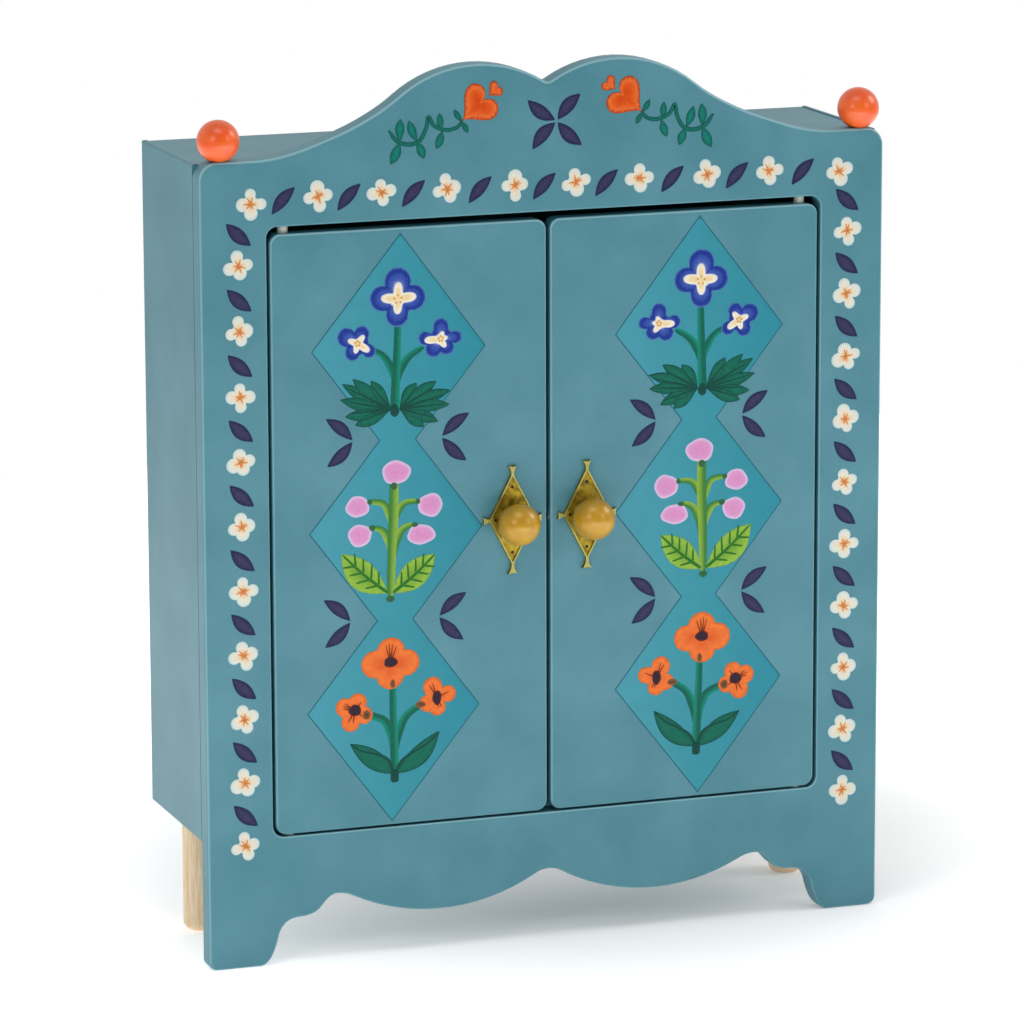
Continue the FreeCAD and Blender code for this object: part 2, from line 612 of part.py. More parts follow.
def main():
    """Checks and writes one STEP file for each node."""
    os.makedirs("parts", exist_ok=True)
    for name, shape in build().items():
        solids = shape.Solids
        if not shape.isValid() or not solids or any(s.Volume <= 0 for s in solids):
            raise ValueError(f"{name} is not a valid solid")
        whole = solids[0] if len(solids) == 1 else Part.makeCompound(solids)
        whole.exportStep(f"parts/{name}.step")
        b = whole.BoundBox
        print(f"{name}: {len(solids)} solid(s), {whole.Volume:.1f} mm3, y {b.YMin:.2f} to {b.YMax:.2f}")
    print(f"front face y {FRONT_Y:.3f}, back y {BACK_Y:.3f}, knob front y {FRONT_Y - KNOB_REACH:.3f}")


main()
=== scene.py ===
"""Looks of a miniature wardrobe: eggshell boards, brush-painted flowers, lacquered beads and brass."""

from __future__ import annotations

import logging
import math
from dataclasses import dataclass, field
from enum import Enum
from typing import Callable

import bmesh
import bpy
import numpy as np
from mathutils import Matrix, Vector


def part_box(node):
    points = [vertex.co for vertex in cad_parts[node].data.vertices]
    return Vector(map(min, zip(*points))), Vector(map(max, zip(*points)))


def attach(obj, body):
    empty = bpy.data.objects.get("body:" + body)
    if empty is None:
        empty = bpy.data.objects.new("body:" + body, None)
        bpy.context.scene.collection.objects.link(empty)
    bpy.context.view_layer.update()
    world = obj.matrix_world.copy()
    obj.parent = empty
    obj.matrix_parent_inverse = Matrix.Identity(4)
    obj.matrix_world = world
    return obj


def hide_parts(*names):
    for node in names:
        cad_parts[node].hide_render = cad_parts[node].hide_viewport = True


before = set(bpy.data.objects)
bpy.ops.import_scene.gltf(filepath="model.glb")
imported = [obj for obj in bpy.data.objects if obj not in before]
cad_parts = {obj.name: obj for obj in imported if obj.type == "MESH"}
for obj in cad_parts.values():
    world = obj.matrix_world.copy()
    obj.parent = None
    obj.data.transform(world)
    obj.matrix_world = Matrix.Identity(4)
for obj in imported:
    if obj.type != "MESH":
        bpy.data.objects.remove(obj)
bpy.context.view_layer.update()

LOG = logging.getLogger("wardrobe")
MM = 0.001
DEG = math.pi / 180
CABINET = "cabinet"
ARM_SPREAD = 26 * DEG          # half width of a star's arm, as an angle
PLATE_BASE = 0.8               # thickness of a knob plate under its raised rim
Point = tuple[float, float]    # x and z of a design, in millimetres
Tree = bpy.types.NodeTree
Socket = bpy.types.NodeSocket


class Side(Enum):
    """A side of the wardrobe, as its sign along X."""

    LEFT = -1
    RIGHT = 1

    @property
    def word(self) -> str:
        """The side's name as the nodes spell it."""
        return self.name.lower()

    @property
    def leaf(self) -> str:
        """The body that this side's door belongs to."""
        return f"{self.word}_leaf"


class Layer(float, Enum):
    """Height of each film of paint over its board, in millimetres, from the first laid to the last."""

    # the darker film in the engraved groove is painted shade, and lies below the face
    GROOVE_SHADE = -0.07
    LOZENGE = 0.025
    STEM = 0.045
    WAIST_LEAF = 0.05
    LEAF = 0.06
    BLOSSOM = 0.07
    VEIN = 0.075
    PETAL = 0.08
    KNOT = 0.095
    TOP_COAT = 0.1
    STREAK = 0.115
    EYE = 0.135


# ------------------------------------------------------------------ shader helpers
def linear(hex_colour: str) -> tuple[float, float, float, float]:
    """Turns an sRGB hex colour to linear RGBA.

    Args:
        hex_colour: six hex digits, with or without a leading #.

    Returns:
        The colour as Blender's sockets hold it, opaque.
    """
    digits = hex_colour.lstrip("#")
    srgb = np.array([int(digits[i : i + 2], 16) for i in (0, 2, 4)]) / 255.0
    value = np.where(srgb <= 0.04045, srgb / 12.92, ((srgb + 0.055) / 1.055) ** 2.4)
    return (float(value[0]), float(value[1]), float(value[2]), 1.0)


def add(
    tree: Tree,
    kind: str,
    inputs: dict | None = None,
    stops: tuple[tuple[float, str], ...] = (),
    **settings: object,
) -> bpy.types.Node:
    """Adds a shader node with its settings, its ramp stops and its inputs.

    Args:
        tree: the material's node tree.
        kind: the node's type name after "ShaderNode".
        inputs: input name or index to a value, or to an output socket to link from.
        stops: for a colour ramp, its (position, hex colour) pairs from left to right.
        settings: the node's own properties.

    Returns:
        The new node.
    """
    node = tree.nodes.new(f"ShaderNode{kind}")
    for name, value in settings.items():
        setattr(node, name, value)
    if stops:
        elements = node.color_ramp.elements
        while len(elements) < len(stops):
            elements.new(1.0)
        for element, (position, colour) in zip(elements, stops):
            element.position = position
            element.color = linear(colour)
    for key, value in (inputs or {}).items():
        if isinstance(value, Socket):
            tree.links.new(value, node.inputs[key])
        else:
            node.inputs[key].default_value = value
    return node


def blank_material(name: str) -> tuple[bpy.types.Material, Tree, Socket]:
    """Makes a material with an empty node tree.

    Args:
        name: the finish's name.

    Returns:
        The material, its tree, and the place in the object's own space, in metres.
    """
    material = bpy.data.materials.new(name)
    material.use_nodes = True
    tree = material.node_tree
    tree.nodes.clear()
    return material, tree, add(tree, "TexCoord").outputs["Object"]


def noise(tree: Tree, place: Socket, width: float, detail: float, roughness: float = 0.5) -> Socket:
    """Noise with features about width millimetres wide."""
    inputs = {"Vector": place, "Scale": 1.0 / (width * MM), "Detail": detail, "Roughness": roughness}
    return add(tree, "TexNoise", inputs).outputs["Fac"]


def ramp(tree: Tree, value: Socket, *stops: tuple[float, str]) -> Socket:
    """The colour that a ramp with these (position, hex colour) stops gives a value."""
    return add(tree, "ValToRGB", {"Fac": value}, stops=stops).outputs["Color"]


def remap(
    tree: Tree,
    value: Socket,
    source: tuple[float, float],
    target: tuple[float, float] = (0.0, 1.0),
    **settings: object,
) -> Socket:
    """A value mapped from one range to another and held at its ends."""
    names = ("From Min", "From Max", "To Min", "To Max")
    inputs = {"Value": value, **dict(zip(names, source + target))}
    return add(tree, "MapRange", inputs, **settings).outputs["Result"]


def combine(tree: Tree, operation: str, *values: Socket | float) -> Socket:
    """The result of an arithmetic operation on its values."""
    return add(tree, "Math", dict(enumerate(values)), operation=operation).outputs["Value"]


def scaled(tree: Tree, colour: Socket, factor: Socket) -> Socket:
    """A colour multiplied by a factor."""
    return add(tree, "VectorMath", {0: colour, "Scale": factor}, operation="SCALE").outputs["Vector"]


def blend(tree: Tree, factor: Socket, under: Socket, over: str) -> Socket:
    """A colour covered by a hex colour as far as a factor from 0 to 1 says."""
    inputs = {"Factor": factor, "A": under, "B": linear(over)}
    return add(tree, "Mix", inputs, data_type="RGBA").outputs["Result"]


def bumped(tree: Tree, height: Socket, strength: float, depth: float) -> Socket:
    """The normal of a surface whose relief is depth millimetres."""
    inputs = {"Height": height, "Strength": strength, "Distance": depth * MM}
    return add(tree, "Bump", inputs).outputs["Normal"]


def surface(tree: Tree, inputs: dict) -> None:
    """Ends a material's tree in a principled shader with these inputs."""
    shader = add(tree, "BsdfPrincipled", inputs)
    add(tree, "OutputMaterial", {"Surface": shader.outputs["BSDF"]})


# ------------------------------------------------------------------ finishes
@dataclass(frozen=True)
class EggshellPaint:
    """Water-based eggshell enamel, rolled on fibreboard.

    It gives a soft sheen, a faint stipple from the roller, a very slight cloudiness and a
    painted highlight: a pale line on the rounded front edges, strongest on the upper ones.
    """

    name: str
    base: str
    cloud: str
    # edge: colour of the painted highlight on rounded edges
    edge: str = "#9FCBD3"
    roughness: float = 0.42
    cloud_mm: float = 26.0
    fibre_mm: float = 0.55     # the real stipple is about 0.2 mm: drawn coarser so that it shows
    stipple_mm: float = 0.04

    def build(self) -> bpy.types.Material:
        """Builds the material: cloudy colour, fine speckle, stipple bump and a painted highlight on edges.

        With n the normal, the painted highlight follows ny^2 (1 - ny^2), which is greatest half way
        round an edge between the front and a side, times a ramp that rises with nz, toward the lights above.
        """
        material, tree, place = blank_material(self.name)
        cloud = noise(tree, place, self.cloud_mm, 3.0)
        speck = noise(tree, place, self.fibre_mm, 2.0)
        tint = ramp(tree, cloud, (0.35, self.base), (0.68, self.cloud))
        colour = scaled(tree, tint, remap(tree, speck, (0.3, 0.7), (0.955, 1.045)))
        # painted highlight: a pale line on rounded edges, brighter where they face up to the lights
        facing = add(tree, "SeparateXYZ", {"Vector": add(tree, "TexCoord").outputs["Normal"]}).outputs
        front = combine(tree, "MULTIPLY", facing["Y"], facing["Y"])
        rounded = combine(tree, "MULTIPLY", front, combine(tree, "SUBTRACT", 1.0, front))
        upper = remap(tree, facing["Z"], (-0.3, 0.5), (0.3, 1.0))
        painted_edge_highlight = remap(tree, combine(tree, "MULTIPLY", rounded, upper), (0.03, 0.2), (0.0, 0.62))
        surface(
            tree,
            {
                "Base Color": blend(tree, painted_edge_highlight, colour, self.edge),
                "Roughness": self.roughness,
                "IOR": 1.5,
                "Specular IOR Level": 0.28,
                "Normal": bumped(tree, speck, 0.35, self.stipple_mm),
            },
        )
        return material


@dataclass(frozen=True)
class BrushPaint:
    """Artist's acrylic, brushed on in one or two coats.

    It gives flat, slightly matt colour that darkens or lightens towards the rim of each
    stroke, with mottling where the coat is thin. The ramp follows one attribute of the film.
    """

    name: str
    stops: tuple[tuple[float, str], ...]
    follows: str = "rim"
    reach: float = 3.0         # attribute value, in the attribute's own unit, at the ramp's end
    mottle: float = 0.1
    mottle_mm: float = 1.3
    roughness: float = 0.5

    def build(self) -> bpy.types.Material:
        """Builds the material: a ramp along the film's attribute, with brush mottling."""
        material, tree, place = blank_material(self.name)
        mottle = noise(tree, place, self.mottle_mm, 3.0)
        value = add(tree, "Attribute", attribute_name=self.follows).outputs["Fac"]
        wander = combine(tree, "MULTIPLY_ADD", mottle, self.mottle * 2.2, -self.mottle * 1.1)
        along = combine(tree, "MULTIPLY_ADD", value, 1.0 / self.reach, wander)
        shade = remap(tree, mottle, (0.25, 0.75), (1.0 - self.mottle, 1.0 + self.mottle))
        surface(
            tree,
            {
                "Base Color": scaled(tree, ramp(tree, along, *self.stops), shade),
                "Roughness": self.roughness,
                "IOR": 1.48,
                "Specular IOR Level": 0.15,
                "Normal": bumped(tree, mottle, 0.25, 0.05),
            },
        )
        return material


@dataclass(frozen=True)
class BeadLacquer:
    """Dipped lacquer on a turned wooden bead.

    It gives a smooth, glossy coat with broad soft reflections, over colour that pools a little.
    """

    name: str
    base: str
    pooled: str
    roughness: float = 0.36
    coat: float = 0.4
    metallic: float = 0.0

    def build(self) -> bpy.types.Material:
        """Builds the material: two close colours under a clear coat."""
        material, tree, place = blank_material(self.name)
        cloud, ripple = noise(tree, place, 5.0, 2.0), noise(tree, place, 2.2, 1.0)
        surface(
            tree,
            {
                "Base Color": ramp(tree, cloud, (0.35, self.base), (0.7, self.pooled)),
                "Metallic": self.metallic,
                "Roughness": self.roughness,
                "IOR": 1.5,
                "Coat Weight": self.coat,
                "Coat Roughness": 0.24,
                "Normal": bumped(tree, ripple, 0.12, 0.05),
            },
        )
        return material


@dataclass(frozen=True)
class AgedBrass:
    """Stamped brass, tumbled and aged, its rim rubbed bright.

    It gives dark gold in the recessed field, pale gold on raised edges and a hammered grain.
    """

    name: str = "aged_stamped_brass"
    field_dark: str = "#69540F"
    field_light: str = "#B1992A"
    rubbed: str = "#9F9C55"
    recess_y: float = 0.0      # y of the recessed field
    crest_y: float = 0.0       # y of the raised rim's face

    def build(self) -> bpy.types.Material:
        """Builds the material: patina in the field, rubbed metal towards the crest."""
        material, tree, place = blank_material(self.name)
        depth = add(tree, "SeparateXYZ", {"Vector": place}).outputs["Y"]
        rubbed = remap(tree, depth, (self.recess_y - 0.1 * MM, self.crest_y))
        patina, grain = noise(tree, place, 2.6, 4.0, 0.6), noise(tree, place, 0.7, 2.0)
        tone = ramp(tree, patina, (0.34, self.field_dark), (0.66, self.field_light))
        surface(
            tree,
            {
                "Base Color": blend(tree, rubbed, tone, self.rubbed),
                "Metallic": 0.7,
                "Roughness": remap(tree, rubbed, (0.0, 1.0), (0.5, 0.42)),
                "Normal": bumped(tree, grain, 0.6, 0.12),
            },
        )
        return material


@dataclass(frozen=True)
class RawBeech:
    """Unfinished beech dowel, turned and lightly sanded.

    It gives pale, dry wood with fine streaks along the dowel and short darker flecks.
    """

    name: str
    along: str = "Z"
    pale: str = "#F2DCBB"
    streak: str = "#D9B586"
    squeeze: float = 0.07      # scale of the noise along the grain, against that across it

    def build(self) -> bpy.types.Material:
        """Builds the material: noise stretched along the grain for colour and bump."""
        material, tree, place = blank_material(self.name)
        scale = tuple(self.squeeze if axis == self.along else 1.0 for axis in "XYZ")
        drawn = add(tree, "Mapping", {"Vector": place, "Scale": scale}, vector_type="POINT")
        grain = noise(tree, drawn.outputs["Vector"], 0.9, 4.0, 0.65)
        surface(
            tree,
            {
                "Base Color": ramp(tree, grain, (0.38, self.pale), (0.72, self.streak)),
                "Roughness": 0.62,
                "IOR": 1.45,
                "Normal": bumped(tree, grain, 0.3, 0.08),
            },
        )
        return material


@dataclass(frozen=True)
class SmallMetal:
    """Small steel fittings: nails, screws and magnets, plated or blackened, with a tumbled surface."""

    name: str
    base: str
    scuffed: str
    roughness: float
    metallic: float = 1.0

    def build(self) -> bpy.types.Material:
        """Builds the material: a plated surface with fine scuffs."""
        material, tree, place = blank_material(self.name)
        scuff = noise(tree, place, 0.5, 3.0)
        surface(
            tree,
            {
                "Base Color": ramp(tree, scuff, (0.4, self.base), (0.72, self.scuffed)),
                "Metallic": self.metallic,
                "Roughness": self.roughness,
                "Normal": bumped(tree, scuff, 0.2, 0.03),
            },
        )
        return material


class Palette:
    """Every finish of the wardrobe, built once."""

    def __init__(self) -> None:
        """Builds the finishes."""
        plate_low, plate_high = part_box("left_knob_plate")
        recess_y = plate_high[1] - PLATE_BASE * MM
        self.teal = EggshellPaint("teal_eggshell_enamel", "#437B88", "#4F8592").build()
        self.lozenge = BrushPaint(
            "turquoise_glaze",
            ((0.0, "#418E9F"), (0.45, "#348897"), (1.0, "#248091")),
            follows="across",
            reach=1.0,
            mottle=0.04,
            mottle_mm=5.0,
            roughness=0.4,
        ).build()
        # darker teal in the engraved groove: painted shade of its recess
        self.groove_shade = BrushPaint("dark_teal_groove_shade", ((0.0, "#256774"), (1.0, "#206270"))).build()
        self.beech = RawBeech("raw_beech_dowel").build()
        self.rail_beech = RawBeech("raw_beech_rail", along="X").build()
        # pins: beech greyed and tinted green, as painted shade of the gaps they sit in and painted reflection
        # of the teal boards
        self.shaded_pin_beech = RawBeech("beech_pin_painted_shade", pale="#C9CDBE", streak="#A9B3A4").build()
        self.orange = BeadLacquer("orange_dipped_lacquer", "#EB5404", "#EE620D").build()
        self.ochre = BeadLacquer("ochre_pearl_lacquer", "#B48504", "#BF9213", metallic=0.1).build()
        self.brass = AgedBrass(recess_y=recess_y, crest_y=plate_low[1]).build()
        self.black_steel = SmallMetal("blackened_steel", "#241A12", "#33261A", 0.5, 0.6).build()
        self.zinc = SmallMetal("zinc_plated_steel", "#B9BABA", "#D4D4D0", 0.32).build()
        self.nickel = SmallMetal("nickel_plated_magnet", "#C9C7BF", "#E3E1DA", 0.22).build()
        self.blossom = BrushPaint(
            "cream_blossom_acrylic",
            (
                (0.0, "#C07138"),
                (0.13, "#CB9058"),
                (0.3, "#D9BE98"),
                (0.55, "#D8CFBB"),
                (0.84, "#CAD1CA"),
                (1.0, "#ADC3C2"),
            ),
            follows="reach",
            reach=1.0,
            mottle=0.05,
        ).build()
        self.streak = BrushPaint(
            "orange_streak_acrylic",
            ((0.0, "#CE8245"), (1.0, "#C06A2A")),
            reach=0.3,
        ).build()
        self.violet = BrushPaint(
            "violet_leaf_acrylic",
            ((0.0, "#263560"), (0.16, "#171B44"), (0.4, "#2B2B4C"), (1.0, "#343453")),
            reach=2.2,
            mottle=0.2,
            mottle_mm=0.6,
        ).build()
        self.pansy = BrushPaint(
            "pansy_blue_acrylic",
            (
                (0.0, "#5474AE"),
                (0.1, "#1E398D"),
                (0.26, "#0B2D81"),
                (0.46, "#294396"),
                (0.75, "#3B53A0"),
                (1.0, "#6475B5"),
            ),
            reach=5.2,
            mottle=0.12,
            mottle_mm=0.9,
        ).build()
        self.pansy_star = BrushPaint(
            "cream_star_acrylic",
            ((0.0, "#AFB6CF"), (0.2, "#DED7C7"), (0.6, "#E3D8BC"), (1.0, "#DFC796")),
            reach=2.4,
            mottle=0.07,
            mottle_mm=0.7,
        ).build()
        self.ochre_dot = BrushPaint(
            "ochre_dot_acrylic",
            ((0.0, "#CDA663"), (1.0, "#BF822F")),
            reach=0.5,
        ).build()
        self.deep_stem = BrushPaint(
            "deep_green_stem_acrylic",
            ((0.0, "#08816D"), (0.35, "#04705C"), (0.62, "#045545"), (1.0, "#045E50")),
            follows="across",
            reach=1.0,
            mottle=0.14,
        ).build()
        self.deep_leaf = BrushPaint(
            "deep_green_leaf_acrylic",
            ((0.0, "#04433A"), (0.22, "#04594A"), (0.6, "#04624F"), (1.0, "#045D4C")),
            reach=3.2,
            mottle=0.16,
        ).build()
        self.deep_vein = BrushPaint("dark_green_line_acrylic", ((0.0, "#044339"), (1.0, "#043A32"))).build()
        self.lime_stem = BrushPaint(
            "lime_stem_acrylic",
            ((0.0, "#83A444"), (0.4, "#6C9632"), (0.68, "#3F7732"), (1.0, "#327139")),
            follows="across",
            reach=1.0,
            mottle=0.14,
        ).build()
        self.lime_leaf = BrushPaint(
            "lime_leaf_acrylic",
            ((0.0, "#669248"), (0.14, "#86AC3E"), (0.6, "#79A136"), (1.0, "#66912F")),
            reach=4.5,
            mottle=0.12,
        ).build()
        self.lime_vein = BrushPaint(
            "leaf_green_line_acrylic",
            ((0.0, "#3A762A"), (1.0, "#1E651B")),
            reach=0.3,
        ).build()
        self.knot = BrushPaint("bottle_green_knot_acrylic", ((0.0, "#2F613D"), (1.0, "#1A4934"))).build()
        self.berry = BrushPaint(
            "pink_berry_acrylic",
            ((0.0, "#B8B8CF"), (0.12, "#CAA9CB"), (0.3, "#CA8BB9"), (1.0, "#C984B3")),
            reach=4.0,
            mottle=0.07,
        ).build()
        self.poppy = BrushPaint(
            "poppy_orange_acrylic",
            ((0.0, "#AF6B41"), (0.07, "#D06126"), (0.2, "#DE7030"), (0.6, "#DB682D"), (1.0, "#D45A21")),
            reach=6.0,
            mottle=0.12,
            mottle_mm=2.0,
        ).build()
        self.poppy_eye = BrushPaint(
            "aubergine_eye_acrylic",
            ((0.0, "#502220"), (0.4, "#2D1A28"), (1.0, "#242032")),
            reach=2.0,
        ).build()
        self.stamen = BrushPaint(
            "umber_line_acrylic",
            ((0.0, "#853706"), (1.0, "#541E06")),
            reach=0.3,
        ).build()
        self.umber = BrushPaint("umber_knot_acrylic", ((0.0, "#81522A"), (1.0, "#513425")), reach=1.2).build()
        self.heart = BrushPaint(
            "brushed_orange_heart_acrylic",
            ((0.0, "#993F13"), (0.1, "#B84517"), (0.24, "#D9672D"), (0.6, "#D2500B"), (1.0, "#C94304")),
            reach=4.6,
            mottle=0.16,
            mottle_mm=1.0,
        ).build()
        self.vine = BrushPaint(
            "bottle_green_vine_acrylic",
            ((0.0, "#044B44"), (0.4, "#046358"), (1.0, "#047266")),
            reach=1.4,
            mottle=0.15,
        ).build()


# ------------------------------------------------------------------ paint films
@dataclass
class Outline:
    """A closed outline and the point of the spine that each of its points faces, in design millimetres."""

    rim: np.ndarray            # (n, 2)
    spine: np.ndarray          # (n, 2)
    across: np.ndarray         # (n,) from 0 on one side to 1 on the other

    def turned(self, turn: Callable[[np.ndarray], np.ndarray]) -> Outline:
        """The outline with both its curves passed through a map of the plane."""
        return Outline(turn(self.rim), turn(self.spine), self.across)


def around(centre: Point, angle: np.ndarray, offsets: np.ndarray) -> Outline:
    """The outline whose rim lies at offsets from a centre, which is its spine."""
    hub = np.tile(np.array(centre, float), (len(angle), 1))
    return Outline(hub + offsets, hub, 0.5 + 0.5 * np.cos(angle))


def lobed(
    centre: Point,
    lobes: tuple[tuple[float, float, float], ...],
    core: float,
    n: int = 96,
) -> Outline:
    """A flower's outline: the union of a round core and round lobes, seen from the centre.

    In each direction the rim is the far crossing of whichever circle reaches furthest. A lobe
    of radius r whose far point is at distance e has its centre at e - r.

    Args:
        centre: the flower's centre.
        lobes: (direction in degrees, distance of the far point, radius) of each lobe.
        core: radius of the core.
        n: number of points.

    Returns:
        The outline, with the centre as its spine.
    """
    angle = np.linspace(0, 2 * np.pi, n, endpoint=False)
    radius = np.full(n, core)
    for direction, extent, size in lobes:
        swing = angle - direction * DEG
        offset = extent - size
        inside = size**2 - (offset * np.sin(swing)) ** 2
        crossing = offset * np.cos(swing) + np.sqrt(np.maximum(inside, 0))
        radius = np.maximum(radius, np.where(inside > 0, crossing, 0))
    ray = np.stack([np.cos(angle), np.sin(angle)], axis=1)
    return around(centre, angle, ray * radius[:, None])


def star(centre: Point, arms: tuple[tuple[float, float], ...], core: float, n: int = 96) -> Outline:
    """A soft-armed star: its radius is core plus, for each arm, a bell curve of the angle from the arm.

    Args:
        centre: the star's centre.
        arms: (direction in degrees, length) of each arm.
        core: radius between the arms.
        n: number of points.

    Returns:
        The outline, with the centre as its spine.
    """
    angle = np.linspace(0, 2 * np.pi, n, endpoint=False)
    radius = np.full(n, core)
    for direction, length in arms:
        swing = np.angle(np.exp(1j * (angle - direction * DEG))) / ARM_SPREAD
        radius = np.maximum(radius, core + (length - core) * np.exp(-(np.abs(swing) ** 2.2)))
    ray = np.stack([np.cos(angle), np.sin(angle)], axis=1)
    return around(centre, angle, ray * radius[:, None])


def pebble(centre: Point, half_w: float, half_h: float, seed: float = 0.0, n: int = 48) -> Outline:
    """An uneven oval: an ellipse whose radius wavers with its third and fifth harmonics.

    Args:
        centre: the oval's centre.
        half_w: half width.
        half_h: half height.
        seed: phase of the wavering.
        n: number of points.

    Returns:
        The outline, with the centre as its spine.
    """
    angle = np.linspace(0, 2 * np.pi, n, endpoint=False)
    waver = 1 + 0.035 * np.cos(3 * angle + seed) + 0.025 * np.sin(5 * angle + 2.3 * seed)
    oval = np.stack([half_w * np.cos(angle), half_h * np.sin(angle)], axis=1)
    return around(centre, angle, oval * waver[:, None])


def heart(tip: Point, heading: float, size: float, n: int = 80) -> Outline:
    """A heart that points to tip: x = 16 sin^3 t, z = 13 cos t - 5 cos 2t - 2 cos 3t - cos 4t, scaled.

    Args:
        tip: the heart's point.
        heading: direction in degrees from the tip to the notch.
        size: distance from the tip to the top of the lobes.
        n: number of points.

    Returns:
        The outline, with its middle as its spine.
    """
    t = np.linspace(0, 2 * np.pi, n, endpoint=False)
    x = 16 * np.sin(t) ** 3
    z = 13 * np.cos(t) - 5 * np.cos(2 * t) - 2 * np.cos(3 * t) - np.cos(4 * t)
    bottom, top = -17.0, 11.9
    k = size / (top - bottom)
    local = np.stack([x * k, (z - bottom) * k], axis=1)
    middle = np.array([0.0, (1.0 - bottom) * k])
    turn = (heading - 90) * DEG
    spin = np.array([[math.cos(turn), math.sin(turn)], [-math.sin(turn), math.cos(turn)]])
    rim = local @ spin + np.array(tip)
    hub = middle @ spin + np.array(tip)
    return Outline(rim, np.tile(hub, (n, 1)), 0.5 + 0.5 * np.cos(t))


def smooth_path(points: tuple[Point, ...], n: int) -> np.ndarray:
    """A smooth path through points: Catmull-Rom pieces, each a cubic through its two middle points.

    Args:
        points: the points to pass through.
        n: number of samples.

    Returns:
        (n, 2) samples, evenly spaced in the pieces' parameter.
    """
    knots = np.array(points, float)
    knots = np.vstack([2 * knots[0] - knots[1], knots, 2 * knots[-1] - knots[-2]])
    u = np.linspace(0, len(points) - 1, n)
    i = np.minimum(u.astype(int), len(points) - 2)
    t = (u - i)[:, None]
    p0, p1, p2, p3 = knots[i], knots[i + 1], knots[i + 2], knots[i + 3]
    return 0.5 * (
        2 * p1 + (p2 - p0) * t + (2 * p0 - 5 * p1 + 4 * p2 - p3) * t**2 + (3 * p1 - p0 - 3 * p2 + p3) * t**3
    )


def ribbon(
    points: tuple[Point, ...],
    half_width: Callable[[np.ndarray], np.ndarray],
    n: int = 24,
) -> Outline:
    """A brush stroke: a smooth path, widened to both sides by a profile of its length.

    Args:
        points: the path's points, from start to end.
        half_width: half width at each fraction of the path, from 0 to 1.
        n: number of samples along the path.

    Returns:
        The outline, with the path as its spine.
    """
    path = smooth_path(points, n)
    run = np.gradient(path, axis=0)
    normal = np.stack([-run[:, 1], run[:, 0]], axis=1) / np.linalg.norm(run, axis=1)[:, None]
    width = half_width(np.linspace(0, 1, n))[:, None]
    left, right = path + normal * width, path - normal * width
    rim = np.vstack([right, left[::-1]])
    spine = np.vstack([path, path[::-1]])
    return Outline(rim, spine, np.repeat([1.0, 0.0], n))


def blade(base: Point, tip: Point, half: float, bend: float = 0.0, full: float = 0.5) -> Outline:
    """A leaf with two pointed ends, widest at a given fraction of its length.

    The half width is half * sin(pi * s^p)^0.9, with p set so that the widest place is at full.

    Args:
        base: where the leaf starts.
        tip: its point.
        half: its greatest half width.
        bend: sideways bow of its spine, as a fraction of its length.
        full: fraction of the length at which it is widest.

    Returns:
        The outline.
    """
    start, end = np.array(base, float), np.array(tip, float)
    run = end - start
    middle = (start + end) / 2 + np.array([-run[1], run[0]]) * bend
    power = math.log(0.5) / math.log(full)

    def profile(s: np.ndarray) -> np.ndarray:
        """Half width at each fraction of the length."""
        return half * np.sin(np.pi * np.clip(s, 0, 1) ** power) ** 0.9

    return ribbon((tuple(start), tuple(middle), tuple(end)), profile)


def rounded_end(left: np.ndarray, share: float, least: float) -> np.ndarray:
    """How much of its width a stroke keeps where this much of its length is left.

    Args:
        left: fraction of the length up to the end.
        share: fraction of the length that the round end takes.
        least: what is kept at the very end.

    Returns:
        The factors, up to 1.
    """
    return np.maximum(np.sqrt(np.clip(left / share, 0.0, 1.0)), least)


def even(start: float, end: float) -> Callable[[np.ndarray], np.ndarray]:
    """A stroke's half-width profile that runs from start to end, with blunt ends."""

    def profile(s: np.ndarray) -> np.ndarray:
        """Half width at each fraction of the length."""
        return (start + (end - start) * s) * rounded_end(np.minimum(s, 1 - s), 0.06, 0.55)

    return profile


def swelling(start: float, middle: float, end: float) -> Callable[[np.ndarray], np.ndarray]:
    """A stroke's half-width profile, with its values at 0, 0.45 and 1 of the length and a round end."""

    def profile(s: np.ndarray) -> np.ndarray:
        """Half width at each fraction of the length."""
        width = np.interp(s, [0.0, 0.2, 0.45, 1.0], [start, 0.45 * start + 0.55 * middle, middle, end])
        return width * rounded_end(1 - s, 0.07, 0.5)

    return profile


@dataclass
class Canvas:
    """A painted face in the plane y = face_y, and the map from design millimetres to it."""

    face_y: float
    origin: tuple[float, float] = (0.0, 0.0)  # in metres
    lean: float = 0.0          # degrees that the design leans, its top to +X
    mirrored: bool = False

    def place(self, points: np.ndarray) -> np.ndarray:
        """Maps design points (mm) to x and z in metres: mirror, then lean, then shift to the origin."""
        out = points.astype(float).copy()
        if self.mirrored:
            out[:, 0] = -out[:, 0]
        c, s = math.cos(self.lean * DEG), math.sin(self.lean * DEG)
        x = out[:, 0] * c + out[:, 1] * s
        z = -out[:, 0] * s + out[:, 1] * c
        return np.stack([x, z], axis=1) * MM + np.array(self.origin)


